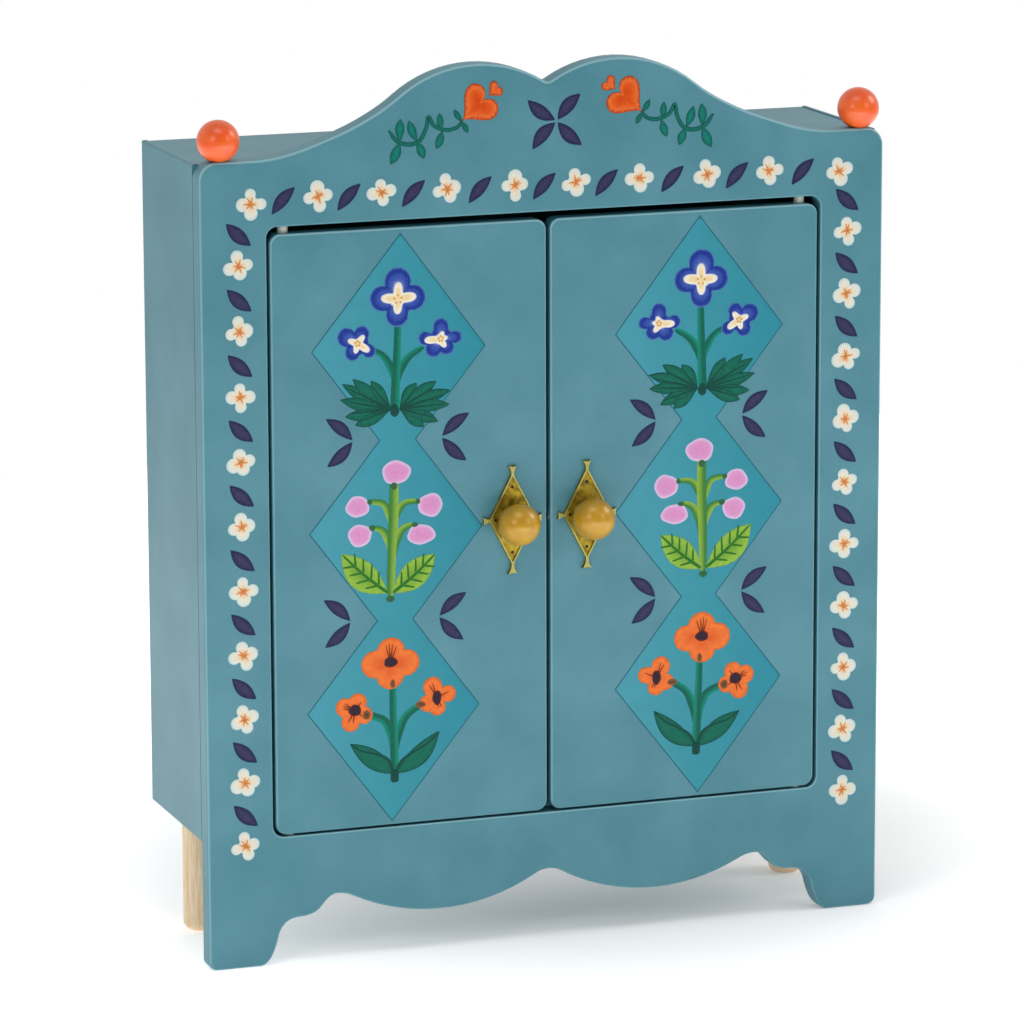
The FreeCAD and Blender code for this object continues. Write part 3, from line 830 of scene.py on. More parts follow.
@dataclass
class PaintFilm:
    """A closed, very thin skin of paint: rings shrink from the rim to the spine, and a back closes it.

    The film stands lift mm proud of its face, its rim a little lower, and its back is sunk a
    hair into the board, so that films can lie on each other in the order in which they dry.
    """

    canvas: Canvas
    lift: float
    rings: int = 5
    edge: float = 0.05         # width of the film's rounded edge
    edge_drop: float = 0.012
    sink: float = 0.015
    edge_share: float = 0.4    # the most of a stroke's half width that its edge takes
    step: float = 0.003        # each stroke stands this much proud of the one before it
    steps: int = 12            # number of strokes after which the steps start again
    parts: list[tuple[np.ndarray, np.ndarray, dict[str, np.ndarray]]] = field(default_factory=list)
    count: int = 0

    def paint(self, *outlines: Outline) -> PaintFilm:
        """Adds outlines to the film.

        Each ring is spine + k * (rim - spine). The first k is 1, the second leaves the film's
        rounded edge outside it, and the others fall evenly to 0.

        Args:
            outlines: what to paint.

        Returns:
            The film itself.
        """
        for outline in outlines:
            n = len(outline.rim)
            reach = outline.rim - outline.spine
            width = np.linalg.norm(reach, axis=1)
            edge = 1 - np.minimum(self.edge / np.maximum(width, 1e-9), self.edge_share)
            inner = np.linspace(1, 0, self.rings)[:, None] * edge[None]
            shrink = np.vstack([np.ones((1, n)), inner])
            front = outline.spine[None] + shrink[..., None] * reach[None]
            back = np.stack([outline.rim, outline.spine])
            flat = np.vstack([front.reshape(-1, 2), back.reshape(-1, 2)])
            rise = np.full((self.rings + 1, n), self.lift + self.step * (len(self.parts) % self.steps))
            rise[0] -= self.edge_drop
            depth = np.concatenate([rise.ravel(), np.full(2 * n, -self.sink)])
            xz = self.canvas.place(flat)
            xyz = np.stack([xz[:, 0], self.canvas.face_y - depth * MM, xz[:, 1]], axis=1)
            loops = self.rings + 1
            quads = [self._band(n, k, k + 1) for k in range(self.rings)]
            quads.append(self._band(n, loops, 0))
            quads.append(self._band(n, loops + 1, loops))
            across = 0.5 + (outline.across - 0.5)[None] * shrink
            data = {
                "rim": np.concatenate([((1 - shrink) * width[None]).ravel(), np.zeros(2 * n)]),
                "reach": np.concatenate([shrink.ravel(), np.ones(2 * n)]),
                "across": np.concatenate([across.ravel(), np.tile(outline.across, 2)]),
            }
            self.parts.append((xyz, np.vstack(quads) + self.count, data))
            self.count += len(xyz)
        return self

    def _band(self, n: int, outer: int, inner: int) -> np.ndarray:
        """Quads between two closed rings of n points, facing the viewer when the rim runs clockwise."""
        i = np.arange(n)
        j = (i + 1) % n
        a, b = outer * n, inner * n
        quad = np.stack([a + i, a + j, b + j, b + i], axis=1)
        return quad[:, ::-1] if self.canvas.mirrored else quad

    def finish(self, name: str, body: str, material: bpy.types.Material) -> bpy.types.Object:
        """Makes the film one object.

        Args:
            name: the piece's name.
            body: the body that it rides on.
            material: its finish.

        Returns:
            The object, merged at its poles and spines.
        """
        points = np.vstack([part[0] for part in self.parts])
        faces = np.vstack([part[1] for part in self.parts])
        data = {key: np.concatenate([part[2][key] for part in self.parts]) for key in self.parts[0][2]}
        return make_piece(name, points, faces, body, material, data)


def linked(name: str, data: bpy.types.ID) -> bpy.types.Object:
    """A new object that shows the data, put in the scene."""
    thing = bpy.data.objects.new(name, data)
    bpy.context.scene.collection.objects.link(thing)
    return thing


def make_piece(
    name: str,
    points: np.ndarray,
    faces: np.ndarray,
    body: str,
    material: bpy.types.Material,
    data: dict[str, np.ndarray] | None = None,
) -> bpy.types.Object:
    """Makes a mesh object from arrays and rides it on a body.

    Args:
        name: the piece's name.
        points: (n, 3) positions in metres.
        faces: (m, 4) quads.
        body: the body that it rides on.
        material: its finish.
        data: float attributes of the points.

    Returns:
        The object, with coinciding points merged and its faces turned outwards.
    """
    mesh = bpy.data.meshes.new(name)
    mesh.from_pydata(points.tolist(), [], faces.tolist())
    for key, values in (data or {}).items():
        layer = mesh.attributes.new(key, "FLOAT", "POINT")
        layer.data.foreach_set("value", values.astype(np.float32))
    work = bmesh.new()
    work.from_mesh(mesh)
    bmesh.ops.remove_doubles(work, verts=work.verts, dist=1e-7)
    bmesh.ops.dissolve_degenerate(work, edges=work.edges, dist=1e-8)
    bmesh.ops.recalc_face_normals(work, faces=work.faces)
    work.to_mesh(mesh)
    work.free()
    mesh.polygons.foreach_set("use_smooth", np.full(len(mesh.polygons), True))
    mesh.materials.append(material)
    piece = linked(name, mesh)
    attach(piece, body)
    LOG.info("%s: %d points on %s", name, len(mesh.vertices), body)
    return piece


# ------------------------------------------------------------------ sub-assemblies
@dataclass
class Carcass:
    """The front frame, the boards behind it, the rear legs and the rail."""

    palette: Palette
    blossom_reach: float = 5.0
    top_row: tuple[float, ...] = (-102.6, -79.6, -57.8, -35.2, -11.6, 9.6, 32.2, 56.4, 78.4, 103.8)
    top_row_z: float = 258.0
    top_end_z: float = 256.6
    column_x: float = 106.9
    column_top: float = 236.4
    column_pitch: float = 21.6
    column_count: int = 10
    seed: int = 11             # of the random draws that vary the blossoms

    def dress(self) -> None:
        """Gives the boards, dowels and legs their finishes."""
        for name in ("front_frame", "top_panel", "floor_panel", "back_panel"):
            dress_node(name, self.palette.teal)
        dress_node("clothes_rail", self.palette.rail_beech)
        for side in Side:
            dress_node(f"{side.word}_side_panel", self.palette.teal)
            dress_node(f"{side.word}_rail_cleat", self.palette.teal)
            dress_node(f"{side.word}_rear_leg", self.palette.beech)
            dress_node(f"{side.word}_finial_peg", self.palette.beech)

    def canvas(self) -> Canvas:
        """The front frame's painted face, in plain x and z."""
        low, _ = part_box("front_frame")
        return Canvas(face_y=low[1])

    def blossom(self, x: float, z: float, dice: np.random.Generator) -> Outline:
        """One four-petalled blossom, each petal of its own length and width."""
        e = self.blossom_reach
        turn = dice.uniform(-9, 9)
        lobes = tuple(
            (angle + turn + dice.uniform(-6, 6), e * dice.uniform(0.9, 1.1), dice.uniform(1.85, 2.55))
            for angle in (98, 9, -78, 192)
        )
        return lobed((x, z), lobes, core=2.75)

    def streaks(self, x: float, z: float, dice: np.random.Generator) -> list[Outline]:
        """Six thin strokes that run out from a blossom's centre into its petals."""
        out = []
        for k in range(6):
            angle = (k * 60 + dice.uniform(-22, 22)) * DEG
            ray = np.array([math.cos(angle), math.sin(angle)])
            foot, head = (np.array([x, z]) + ray * r for r in (0.2, dice.uniform(1.7, 2.7)))
            out.append(ribbon((tuple(foot), tuple(head)), even(0.3, 0.12), n=6))
        return out

    def paint_border(self) -> None:
        """Paints the blossoms and violet leaves along the top and down both sides."""
        dice = np.random.default_rng(self.seed)
        canvas = self.canvas()
        blossoms = PaintFilm(canvas, Layer.BLOSSOM, rings=7)
        streaks = PaintFilm(canvas, Layer.STREAK, rings=2, edge_drop=0.0)
        leaves = PaintFilm(canvas, Layer.LEAF)
        last = len(self.top_row) - 1
        spots = [
            (x, self.top_end_z if i in (0, last) else self.top_row_z) for i, x in enumerate(self.top_row)
        ]
        for x0, x1 in zip(self.top_row, self.top_row[1:]):
            middle = (x0 + x1) / 2 - 0.4
            foot, tip = (middle - 4.0, self.top_row_z - 5.2), (middle + 4.0, self.top_row_z + 3.4)
            leaves.paint(blade(foot, tip, 2.1, 0.04))
        for side in Side:
            x = side.value * self.column_x
            for k in range(self.column_count):
                z = self.column_top - self.column_pitch * k
                spots.append((x, z))
                up = z + self.column_pitch / 2 - 0.4
                leaves.paint(blade((x - 4.1, up + 3.8), (x + 4.2, up - 3.8), 2.3, -0.03))
        for x, z in spots:
            blossoms.paint(self.blossom(x, z, dice))
            streaks.paint(*self.streaks(x, z, dice))
        streaks.finish("border_streaks", CABINET, self.palette.streak)
        blossoms.finish("border_blossoms", CABINET, self.palette.blossom)
        leaves.finish("border_leaves", CABINET, self.palette.violet)

    def paint_crown(self) -> None:
        """Paints the rosette, the hearts and the two vines on the crown."""
        canvas = self.canvas()
        rosette = PaintFilm(canvas, Layer.LEAF)
        hub = (2.9, 278.5)
        for tip, bend in (
            ((-7.2, 285.9), 0.06),
            ((11.3, 287.2), 0.05),
            ((-5.5, 269.5), -0.06),
            ((11.8, 270.1), -0.05),
        ):
            start = (hub[0] + 0.05 * (tip[0] - hub[0]), hub[1] + 0.05 * (tip[1] - hub[1]))
            rosette.paint(blade(start, tip, 2.3, bend))
        rosette.finish("crown_rosette", CABINET, self.palette.violet)
        hearts = PaintFilm(canvas, Layer.TOP_COAT, rings=7)
        vines = PaintFilm(canvas, Layer.LEAF)
        for sign, shift in ((1, 0.0), (-1, 3.0)):
            flip = self._flipper(sign, shift)
            hearts.paint(heart((-30.0, 280.2), 41, 12.6).turned(flip))
            hearts.paint(heart((-20.8, 287.9), 41, 5.1).turned(flip))
            for outline in self._vine():
                vines.paint(outline.turned(flip))
        hearts.finish("crown_hearts", CABINET, self.palette.heart)
        vines.finish("crown_vines", CABINET, self.palette.vine)

    @staticmethod
    def _flipper(sign: int, shift: float) -> Callable[[np.ndarray], np.ndarray]:
        """A map that mirrors the plane when sign is -1, then shifts it along x."""
        return lambda points: points * np.array([sign, 1.0]) + np.array([shift, 0.0])

    @staticmethod
    def _vine() -> list[Outline]:
        """The left vine: a wave of two dips, with a pair of leaves at each end of a dip."""
        wave = (
            (-55.3, 278.2), (-52.4, 274.6), (-48.2, 273.3), (-44.6, 274.5), (-42.4, 278.4),
            (-41.6, 282.0), (-39.6, 279.0), (-35.4, 277.4), (-31.6, 278.2), (-29.6, 280.6),
        )
        leaves = (
            ((-51.4, 274.2), (-51.2, 281.9), 1.6), ((-51.4, 274.4), (-54.8, 267.0), 1.7),
            ((-45.6, 274.0), (-48.4, 281.2), 1.5), ((-45.8, 274.2), (-43.2, 268.3), 1.5),
            ((-37.0, 277.2), (-37.8, 283.2), 1.2), ((-36.8, 277.4), (-38.9, 271.3), 1.4),
            ((-30.0, 279.8), (-32.8, 284.1), 1.0), ((-30.2, 280.0), (-28.0, 276.1), 1.0),
        )
        stroke = ribbon(wave, even(0.75, 0.65), n=64)
        return [stroke] + [blade(base, tip, half, 0.03, 0.55) for base, tip, half in leaves]


def dress_node(name: str, material: bpy.types.Material) -> None:
    """Gives a CAD node's mesh one finish, and leaves its shape alone."""
    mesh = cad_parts[name].data
    mesh.materials.clear()
    mesh.materials.append(material)


@dataclass
class DoorLeaf:
    """A door with its pins, its magnet, and its painted and engraved column of lozenges."""

    palette: Palette
    side: Side
    column_x: float = 53.7
    column_z: float = 145.1
    pitch: float = 60.8
    half_w: float = 30.0
    half_h: float = 38.3
    groove: float = 0.36
    groove_depth: float = 0.29
    groove_side: float = 0.02  # left bare on each side of the painted shade in the groove
    step: float = 1.5          # spacing of the points along the column's sides
    left_lean: float = 1.25

    @property
    def name(self) -> str:
        """The side's word, to start piece names with."""
        return self.side.word

    def dress(self) -> None:
        """Gives the door's CAD nodes their finishes."""
        dress_node(f"{self.name}_door", self.palette.teal)
        # the pins' greyed beech is painted shade of the gaps they turn in
        dress_node(f"{self.name}_door_top_pin", self.palette.shaded_pin_beech)
        dress_node(f"{self.name}_door_bottom_pin", self.palette.shaded_pin_beech)
        dress_node(f"{self.name}_door_magnet", self.palette.nickel)

    def canvas(self) -> Canvas:
        """The column's own plane: x from the column's axis, z from the middle lozenge's centre."""
        low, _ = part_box(f"{self.name}_door")
        left = self.side is Side.LEFT
        return Canvas(
            face_y=low[1],
            origin=(self.side.value * self.column_x * MM, self.column_z * MM),
            lean=self.left_lean if left else 0.0,
            mirrored=not left,
        )

    def column_outline(self, grow: float) -> np.ndarray:
        """The outline of the three joined lozenges, clockwise from the top, grown by an amount.

        Neighbouring lozenges cross at half a pitch, so each waist is where their sides meet.
        """
        slant = math.hypot(self.half_w, self.half_h)
        w = self.half_w + grow * slant / self.half_h
        h = self.half_h + grow * slant / self.half_w
        waist = w * (1 - self.pitch / 2 / h)
        zs = [self.pitch + h]
        xs = [0.0]
        for row in (1, 0, -1):
            zs += [row * self.pitch, (row - 0.5) * self.pitch]
            xs += [w, waist]
        xs[-1], zs[-1] = 0.0, -self.pitch - h
        right = np.stack([xs, zs], axis=1)
        left = right[1:-1][::-1] * np.array([-1, 1])
        return np.vstack([right, left])

    def paint_column(self) -> None:
        """Paints the turquoise lozenges up to the engraved groove, and painted shade down in the groove
        itself.
        """
        canvas = self.canvas()
        inner = densify(self.column_outline(-self.groove / 2), self.step)
        spine = inner * np.array([0.0, 1.0])
        spread = 0.5 + 0.5 * inner[:, 0] / self.half_w
        fill = PaintFilm(canvas, Layer.LOZENGE, rings=14, edge_drop=0.0)
        fill.paint(Outline(inner, spine, spread if self.side is Side.LEFT else 1 - spread))
        fill.finish(f"{self.name}_lozenge_column", self.side.leaf, self.palette.lozenge)
        # a darker film down in the groove: painted shade of the recess
        line = PaintFilm(canvas, Layer.GROOVE_SHADE, rings=2, edge_drop=0.0, sink=self.groove_depth)
        half = self.groove / 2 - self.groove_side
        middle = densify(self.column_outline(0.0), self.step)
        outer = densify(self.column_outline(half), self.step, len(middle))
        inside = densify(self.column_outline(-half), self.step, len(middle))
        line.paint(Outline(outer, middle, np.ones(len(middle))))
        line.paint(Outline(inside[::-1], middle[::-1], np.ones(len(middle))))
        line.finish(f"{self.name}_engraved_line", self.side.leaf, self.palette.groove_shade)

    def spot(self, x: float, z: float) -> Point:
        """A point of the column's plane, from x beside its axis and z above the surface it stands on."""
        return (x, z - self.column_z)

    def path(self, *points: Point) -> tuple[Point, ...]:
        """Several such points."""
        return tuple(self.spot(x, z) for x, z in points)

    def film(self, lift: float, rings: int = 5) -> PaintFilm:
        """A film on this door at a given height."""
        return PaintFilm(self.canvas(), lift, rings=rings)

    def done(self, film: PaintFilm, what: str, material: bpy.types.Material) -> None:
        """Finishes a film as a piece of this door."""
        film.finish(f"{self.name}_{what}", self.side.leaf, material)

    def stems(
        self,
        what: str,
        material: bpy.types.Material,
        strokes: tuple[tuple[tuple[Point, ...], tuple[float, float, float]], ...],
    ) -> None:
        """Paints strokes along paths, each with its half widths at the start, the middle and the end."""
        film = self.film(Layer.STEM)
        for points, widths in strokes:
            film.paint(ribbon(self.path(*points), swelling(*widths)))
        self.done(film, what, material)

    def petals(
        self,
        what: str,
        material: bpy.types.Material,
        flowers: tuple[tuple[Point, tuple[tuple[float, float, float], ...], float], ...],
    ) -> None:
        """Paints flowers, each given as the centre, lobes and core that lobed takes."""
        film = self.film(Layer.PETAL, rings=8)
        for centre, lobes, core in flowers:
            film.paint(lobed(self.spot(*centre), lobes, core))
        self.done(film, what, material)

    def paint_waist_leaves(self) -> None:
        """Paints the two violet leaves on each side of each waist."""
        film = self.film(Layer.WAIST_LEAF)
        for z in (self.pitch / 2, -self.pitch / 2):
            for sign in (-1, 1):
                base = (sign * 15.6, z + 0.3)
                film.paint(blade((base[0], base[1] + 0.25), (sign * 24.9, z + 8.0), 2.1, sign * 0.05))
                film.paint(blade((base[0], base[1] - 0.35), (sign * 24.2, z - 8.1), 2.1, -sign * 0.05))
        self.done(film, "waist_leaves", self.palette.violet)

    def paint_pansies(self) -> None:
        """Paints the bouquet of three blue pansies over a fan of jagged leaves."""
        stems = self.film(Layer.STEM).paint(
            ribbon(
                self.path((-1.0, 191.0), (-1.7, 196.6), (-3.6, 201.4), (-6.2, 204.4), (-9.8, 206.2)),
                swelling(0.5, 1.35, 0.8),
            ),
            ribbon(
                self.path((-0.8, 190.5), (-0.1, 196.4), (1.7, 200.8), (4.4, 203.8), (8.6, 206.2)),
                swelling(0.5, 1.45, 0.9),
            ),
            ribbon(self.path((-0.4, 215), (-0.6, 205), (-0.9, 195), (-1.1, 184.8)), even(1.15, 1.7)),
        )
        self.done(stems, "pansy_stems", self.palette.deep_stem)
        fan = self.film(Layer.LEAF)
        left_tips = (
            (-19.5, 194.9),
            (-15.9, 196.5),
            (-9.5, 195.7),
            (-20.1, 189.7),
            (-18.3, 183.9),
            (-14.8, 180.9),
        )
        right_tips = (
            (6.3, 194.3),
            (13.3, 194.6),
            (18.2, 191.4),
            (18.0, 186.6),
            (14.1, 181.0),
            (9.2, 179.4),
        )
        for root_x, middle, tips in ((-2.2, (-13.225, 188.4), left_tips), (0.4, (11.73, 187.4), right_tips)):
            root = self.spot(root_x, 185.8)
            fan.paint(blade(root, self.spot(*middle), 4.4, 0.0, 0.55))
            for tip in tips:
                fan.paint(blade(root, self.spot(*tip), 2.1, 0.02, 0.6))
        self.done(fan, "pansy_leaves", self.palette.deep_leaf)
        veins = self.film(Layer.TOP_COAT, rings=2)
        for root, tips in (
            ((-2.4, 185.8), ((-17.5, 193.4), (-9.0, 193.6), (-17.6, 189.0), (-16.0, 185.0), (-13.0, 182.2))),
            ((0.6, 185.8), ((6.0, 192.4), (12.2, 192.6), (16.0, 190.0), (15.8, 186.8), (12.2, 182.4))),
        ):
            for tip in tips:
                veins.paint(ribbon(self.path(root, tip), even(0.44, 0.16), n=10))
        veins.paint(pebble(self.spot(-1.1, 185.3), 1.5, 2.1, 1.0))
        self.done(veins, "pansy_leaf_veins", self.palette.deep_vein)
        flowers = (
            ((-0.5, 222.8), ((92, 10.2, 4.6), (180, 9.8, 4.3), (0, 9.6, 4.3), (-92, 9.6, 3.9)), 6.1),
            ((-14.5, 208.3), ((150, 7.4, 3.2), (62, 6.2, 2.6), (245, 6.2, 2.6), (-33, 7.4, 2.3)), 4.2),
            (
                (14.7, 208.8),
                ((93, 6.8, 2.7), (3, 7.2, 2.1), (-58, 6.2, 2.6), (-128, 7.2, 2.8), (178, 8.0, 2.3)),
                4.1,
            ),
        )
        self.petals("pansy_petals", self.palette.pansy, flowers)
        stars = self.film(Layer.TOP_COAT, rings=4).paint(
            star(self.spot(-0.5, 222.6), ((90, 5.6), (177, 6.0), (6, 6.4), (-92, 5.2), (215, 3.1)), 2.4),
            star(self.spot(-14.2, 208.2), ((160, 3.7), (52, 3.5), (-105, 3.4), (-34, 4.9)), 1.7),
            star(self.spot(14.0, 208.5), ((182, 5.2), (62, 3.0), (12, 3.0), (-48, 3.6)), 1.7),
        )
        self.done(stars, "pansy_stars", self.palette.pansy_star)
        dots = self.film(Layer.STREAK, rings=2)
        for cx, cz, spread in ((-0.5, 222.4, 1.3), (-14.3, 208.2, 0.8), (14.5, 208.7, 0.8)):
            for k in range(5):
                turn = k * 72 * DEG + 0.4
                place = self.spot(cx + spread * math.cos(turn), cz + spread * math.sin(turn))
                dots.paint(pebble(place, 0.42, 0.42, k, 12))
        self.done(dots, "pansy_dots", self.palette.ochre_dot)

    def paint_berries(self) -> None:
        """Paints the branch of pink berries with its two veined lime leaves."""
        strokes = (
            (((-1.3, 144.5), (-2.6, 150.2), (-4.6, 154.2), (-9.6, 155.2)), (0.6, 1.25, 0.9)),
            (((-1.4, 136.0), (-2.6, 141.5), (-4.8, 145.2), (-8.6, 146.4)), (0.8, 1.5, 0.7)),
            (((-0.9, 145.0), (0.2, 150.4), (2.7, 154.0), (7.6, 154.7)), (0.6, 1.25, 0.8)),
            (((-1.2, 134.0), (0.0, 141.0), (2.4, 145.4), (6.4, 146.9)), (0.8, 1.45, 0.8)),
            (((-1.0, 160.8), (-1.0, 150), (-1.4, 140), (-1.7, 122.3)), (1.6, 1.75, 1.35)),
        )
        self.stems("berry_stems", self.palette.lime_stem, strokes)
        leaves = self.film(Layer.LEAF, rings=7).paint(
            blade(*self.path((-2.4, 123.8), (-19.0, 138.0)), 4.9, 0.05, 0.52),
            blade(*self.path((-1.0, 123.8), (13.8, 136.4)), 4.7, -0.02, 0.5),
        )
        self.done(leaves, "berry_leaves", self.palette.lime_leaf)
        veins = self.film(Layer.VEIN, rings=2)
        for base, tip, flip in (((-2.6, 124.0), (-18.6, 137.6), 1), ((-0.8, 124.0), (13.6, 136.2), -1)):
            self._veins(veins, base, tip, flip)
        self.done(veins, "berry_leaf_veins", self.palette.lime_vein)
        berries = self.film(Layer.PETAL, rings=6)
        for i, (x, z, w, h) in enumerate(
            (
                (-0.3, 164.6, 5.0, 4.0),
                (-13.6, 153.6, 4.1, 3.6),
                (11.8, 153.0, 4.3, 4.0),
                (-12.7, 143.9, 4.1, 3.8),
                (8.7, 143.2, 4.9, 3.4),
            )
        ):
            berries.paint(pebble(self.spot(x, z), w, h, 1.7 * i))
        self.done(berries, "berries", self.palette.berry)
        knots = self.film(Layer.KNOT, rings=2)
        for x, z, w, h in (
            (-1.0, 160.0, 1.1, 1.3), (-9.4, 155.0, 0.9, 0.9), (7.4, 154.4, 0.8, 0.9),
            (-8.4, 146.2, 1.1, 1.0), (6.4, 146.6, 1.2, 0.8), (-1.7, 121.9, 1.5, 1.1),
        ):
            knots.paint(pebble(self.spot(x, z), w, h, x, 20))
        self.done(knots, "berry_knots", self.palette.knot)

    def _veins(self, film: PaintFilm, base: Point, tip: Point, flip: int) -> None:
        """Paints a midrib and four pairs of side veins on a leaf from base to tip."""
        start, end = np.array(self.path(base, tip))
        run = end - start
        normal = np.array([-run[1], run[0]]) / np.linalg.norm(run) * flip
        middle = (start + end) / 2 + normal * 0.5
        film.paint(ribbon((tuple(start), tuple(middle), tuple(end)), even(0.62, 0.34), n=16))
        for k in range(4):
            foot = start + run * (0.2 + 0.17 * k)
            for sign, reach in ((1, 4.3), (-1, 4.0)):
                head = foot + run * 0.15 + normal * sign * (reach - 0.55 * abs(k - 1))
                film.paint(ribbon((tuple(foot), tuple(head)), even(0.44, 0.3), n=8))

    def paint_poppies(self) -> None:
        """Paints the bouquet of three poppies on forked stems with two broad leaves."""
        strokes = (
            (((0.2, 68.0), (-0.9, 75.4), (-3.4, 80.6), (-9.8, 83.2)), (0.7, 1.5, 1.2)),
            (((0.5, 67.0), (1.6, 75.0), (4.3, 81.6), (9.8, 85.5)), (0.7, 1.5, 1.1)),
            (((-0.5, 93.8), (-0.2, 84), (0.3, 73), (0.7, 61)), (1.15, 1.3, 1.6)),
        )
        self.stems("poppy_stems", self.palette.deep_stem, strokes)
        leaves = self.film(Layer.LEAF, rings=7).paint(
            blade(*self.path((0.4, 62.2), (-15.2, 73.4)), 3.2, 0.0, 0.48),
            blade(*self.path((1.0, 62.2), (16.2, 75.8)), 3.3, -0.06, 0.48),
        )
        self.done(leaves, "poppy_leaves", self.palette.deep_leaf)
        ribs = self.film(Layer.VEIN, rings=2).paint(
            ribbon(
                self.path((0.2, 62.8), (-1.8, 67.2), (-5.8, 69.2), (-11.0, 70.6), (-14.9, 73.1)),
                even(0.5, 0.3),
            ),
            ribbon(
                self.path((1.0, 62.8), (3.4, 66.8), (8.4, 69.8), (12.6, 72.2), (15.9, 75.5)),
                even(0.5, 0.3),
            ),
            ribbon(self.path((0.6, 63.6), (0.7, 59.2)), even(1.5, 1.4), n=8),
        )
        self.done(ribs, "poppy_leaf_ribs", self.palette.deep_vein)
        flowers = (
            ((-1.4, 100.0), ((88, 8.8, 5.0), (181, 10.2, 4.7), (0, 10.2, 4.5), (-90, 8.8, 4.9)), 5.2),
            ((-13.8, 84.5), ((158, 6.8, 3.3), (68, 6.2, 3.2), (252, 7.2, 3.3), (-25, 6.8, 3.0)), 3.8),
            ((15.0, 87.6), ((112, 7.2, 3.4), (12, 6.9, 2.9), (-85, 6.5, 3.0), (212, 6.8, 2.9)), 3.8),
        )
        self.petals("poppy_petals", self.palette.poppy, flowers)
        lines = self.film(Layer.KNOT, rings=2)
        for (x, z), rays in (
            ((-1.4, 100.2), ((106, 6.4), (95, 6.8), (84, 6.4), (70, 6.0))),
            (
                (-13.6, 84.7),
                ((145, 4.4), (158, 4.6), (170, 4.2), (52, 3.6), (240, 4.8), (262, 4.4), (-40, 3.6)),
            ),
            ((15.1, 87.3), ((122, 5.2), (108, 5.4), (24, 4.8), (-62, 4.0), (-78, 3.8))),
        ):
            for angle, reach in rays:
                head = (x + reach * math.cos(angle * DEG), z + reach * math.sin(angle * DEG))
                lines.paint(ribbon(self.path((x, z), head), even(0.34, 0.14), n=8))
        self.done(lines, "poppy_stamens", self.palette.stamen)
        eyes = self.film(Layer.EYE, rings=3).paint(
            pebble(self.spot(-1.3, 100.4), 2.4, 1.8, 0.6, 28),
            pebble(self.spot(-13.6, 84.7), 2.2, 2.0, 2.0, 28),
            pebble(self.spot(15.1, 87.3), 1.6, 2.5, 4.0, 28),
        )
        self.done(eyes, "poppy_eyes", self.palette.poppy_eye)
        knots = self.film(Layer.TOP_COAT, rings=3).paint(
            pebble(self.spot(-9.5, 82.9), 1.4, 1.6, 0.3, 24),
            pebble(self.spot(9.4, 85.3), 1.8, 1.1, 1.3, 24),
            pebble(self.spot(-0.5, 93.0), 0.9, 1.5, 2.3, 24),
        )
        self.done(knots, "poppy_knots", self.palette.umber)


def densify(corners: np.ndarray, step: float, count: int = 0) -> np.ndarray:
    """Puts evenly spaced points on a closed polygon's sides and keeps its corners.

    Args:
        corners: (k, 2) corners.
        step: greatest spacing, in the corners' unit, when count is 0.
        count: total number of points, a multiple of k, to give every side the same number.

    Returns:
        The closed polygon's points.
    """
    after = np.roll(corners, -1, axis=0)
    lengths = np.linalg.norm(after - corners, axis=1)
    pieces = count // len(corners) if count else int(math.ceil(lengths.max() / step))
    t = np.linspace(0, 1, pieces, endpoint=False)[None, :, None]
    return (corners[:, None] * (1 - t) + after[:, None] * t).reshape(-1, 2)


@dataclass
class Bead:
    """A turned bead with a flat seat, as a smooth surface of revolution."""

    node: str
    body: str
    material: bpy.types.Material
    slot: str
    axis: str                  # "Z" for a bead that stands on its seat, "Y" for a knob
    around: int = 96
    up: int = 56

    def make(self) -> bpy.types.Object:
        """Makes the bead.

        The profile runs from the far pole round to the seat's edge, r = R sin a and
        h = R cos a, and then straight in to the axis. It is turned round the axis.

        Returns:
            The bead, which stands for its CAD node.
        """
        low, high = np.array(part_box(self.node))
        along = "XYZ".index(self.axis)
        sides = [i for i in range(3) if i != along]
        radius = float(high[0] - low[0]) / 2
        centre = (low + high) / 2
        seat = float(high[along] - low[along]) - radius
        far = high[along] if self.axis == "Z" else low[along]
        sign = 1.0 if self.axis == "Z" else -1.0
        end = math.acos(-seat / radius)
        a = np.linspace(0, end, self.up)
        r = np.concatenate([radius * np.sin(a), [radius * math.sin(end) * 0.5, 0.0]])
        h = np.concatenate([radius * np.cos(a), [-seat, -seat]])
        turn = np.linspace(0, 2 * np.pi, self.around, endpoint=False)
        points = np.zeros((len(r), self.around, 3))
        points[..., sides[0]] = centre[sides[0]] + r[:, None] * np.cos(turn)[None]
        points[..., sides[1]] = centre[sides[1]] + r[:, None] * np.sin(turn)[None]
        points[..., along] = (far - sign * radius) + sign * h[:, None]
        i = np.arange(len(r) - 1)[:, None] * self.around
        j = np.arange(self.around)[None]
        k = (j + 1) % self.around
        faces = np.stack([i + j, i + k, i + self.around + k, i + self.around + j], axis=-1).reshape(-1, 4)
        piece = make_piece(
            f"{self.node}_turned",
            points.reshape(-1, 3),
            faces,
            self.body,
            self.material,
        )
        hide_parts(self.node)
        return piece


@dataclass
class KnobSet:
    """A door's bead knob, its brass plate, nails and screw."""

    palette: Palette
    side: Side

    def build(self) -> None:
        """Dresses the metal and makes the bead."""
        word = self.side.word
        dress_node(f"{word}_knob_plate", self.palette.brass)
        dress_node(f"{word}_knob_screw", self.palette.zinc)
        for place in ("top", "bottom", "outer", "inner"):
            dress_node(f"{word}_plate_{place}_nail", self.palette.black_steel)
        Bead(f"{word}_knob_ball", self.side.leaf, self.palette.ochre, "ochre_lacquer", "Y").make()


# ------------------------------------------------------------------ studio
def bearing(azimuth: float, elevation: float) -> Vector:
    """The direction from the wardrobe at these angles in degrees: 0, 0 is the front, 90, 0 its right."""
    az, el = azimuth * DEG, elevation * DEG
    return Vector((math.sin(az) * math.cos(el), -math.cos(az) * math.cos(el), math.sin(el)))


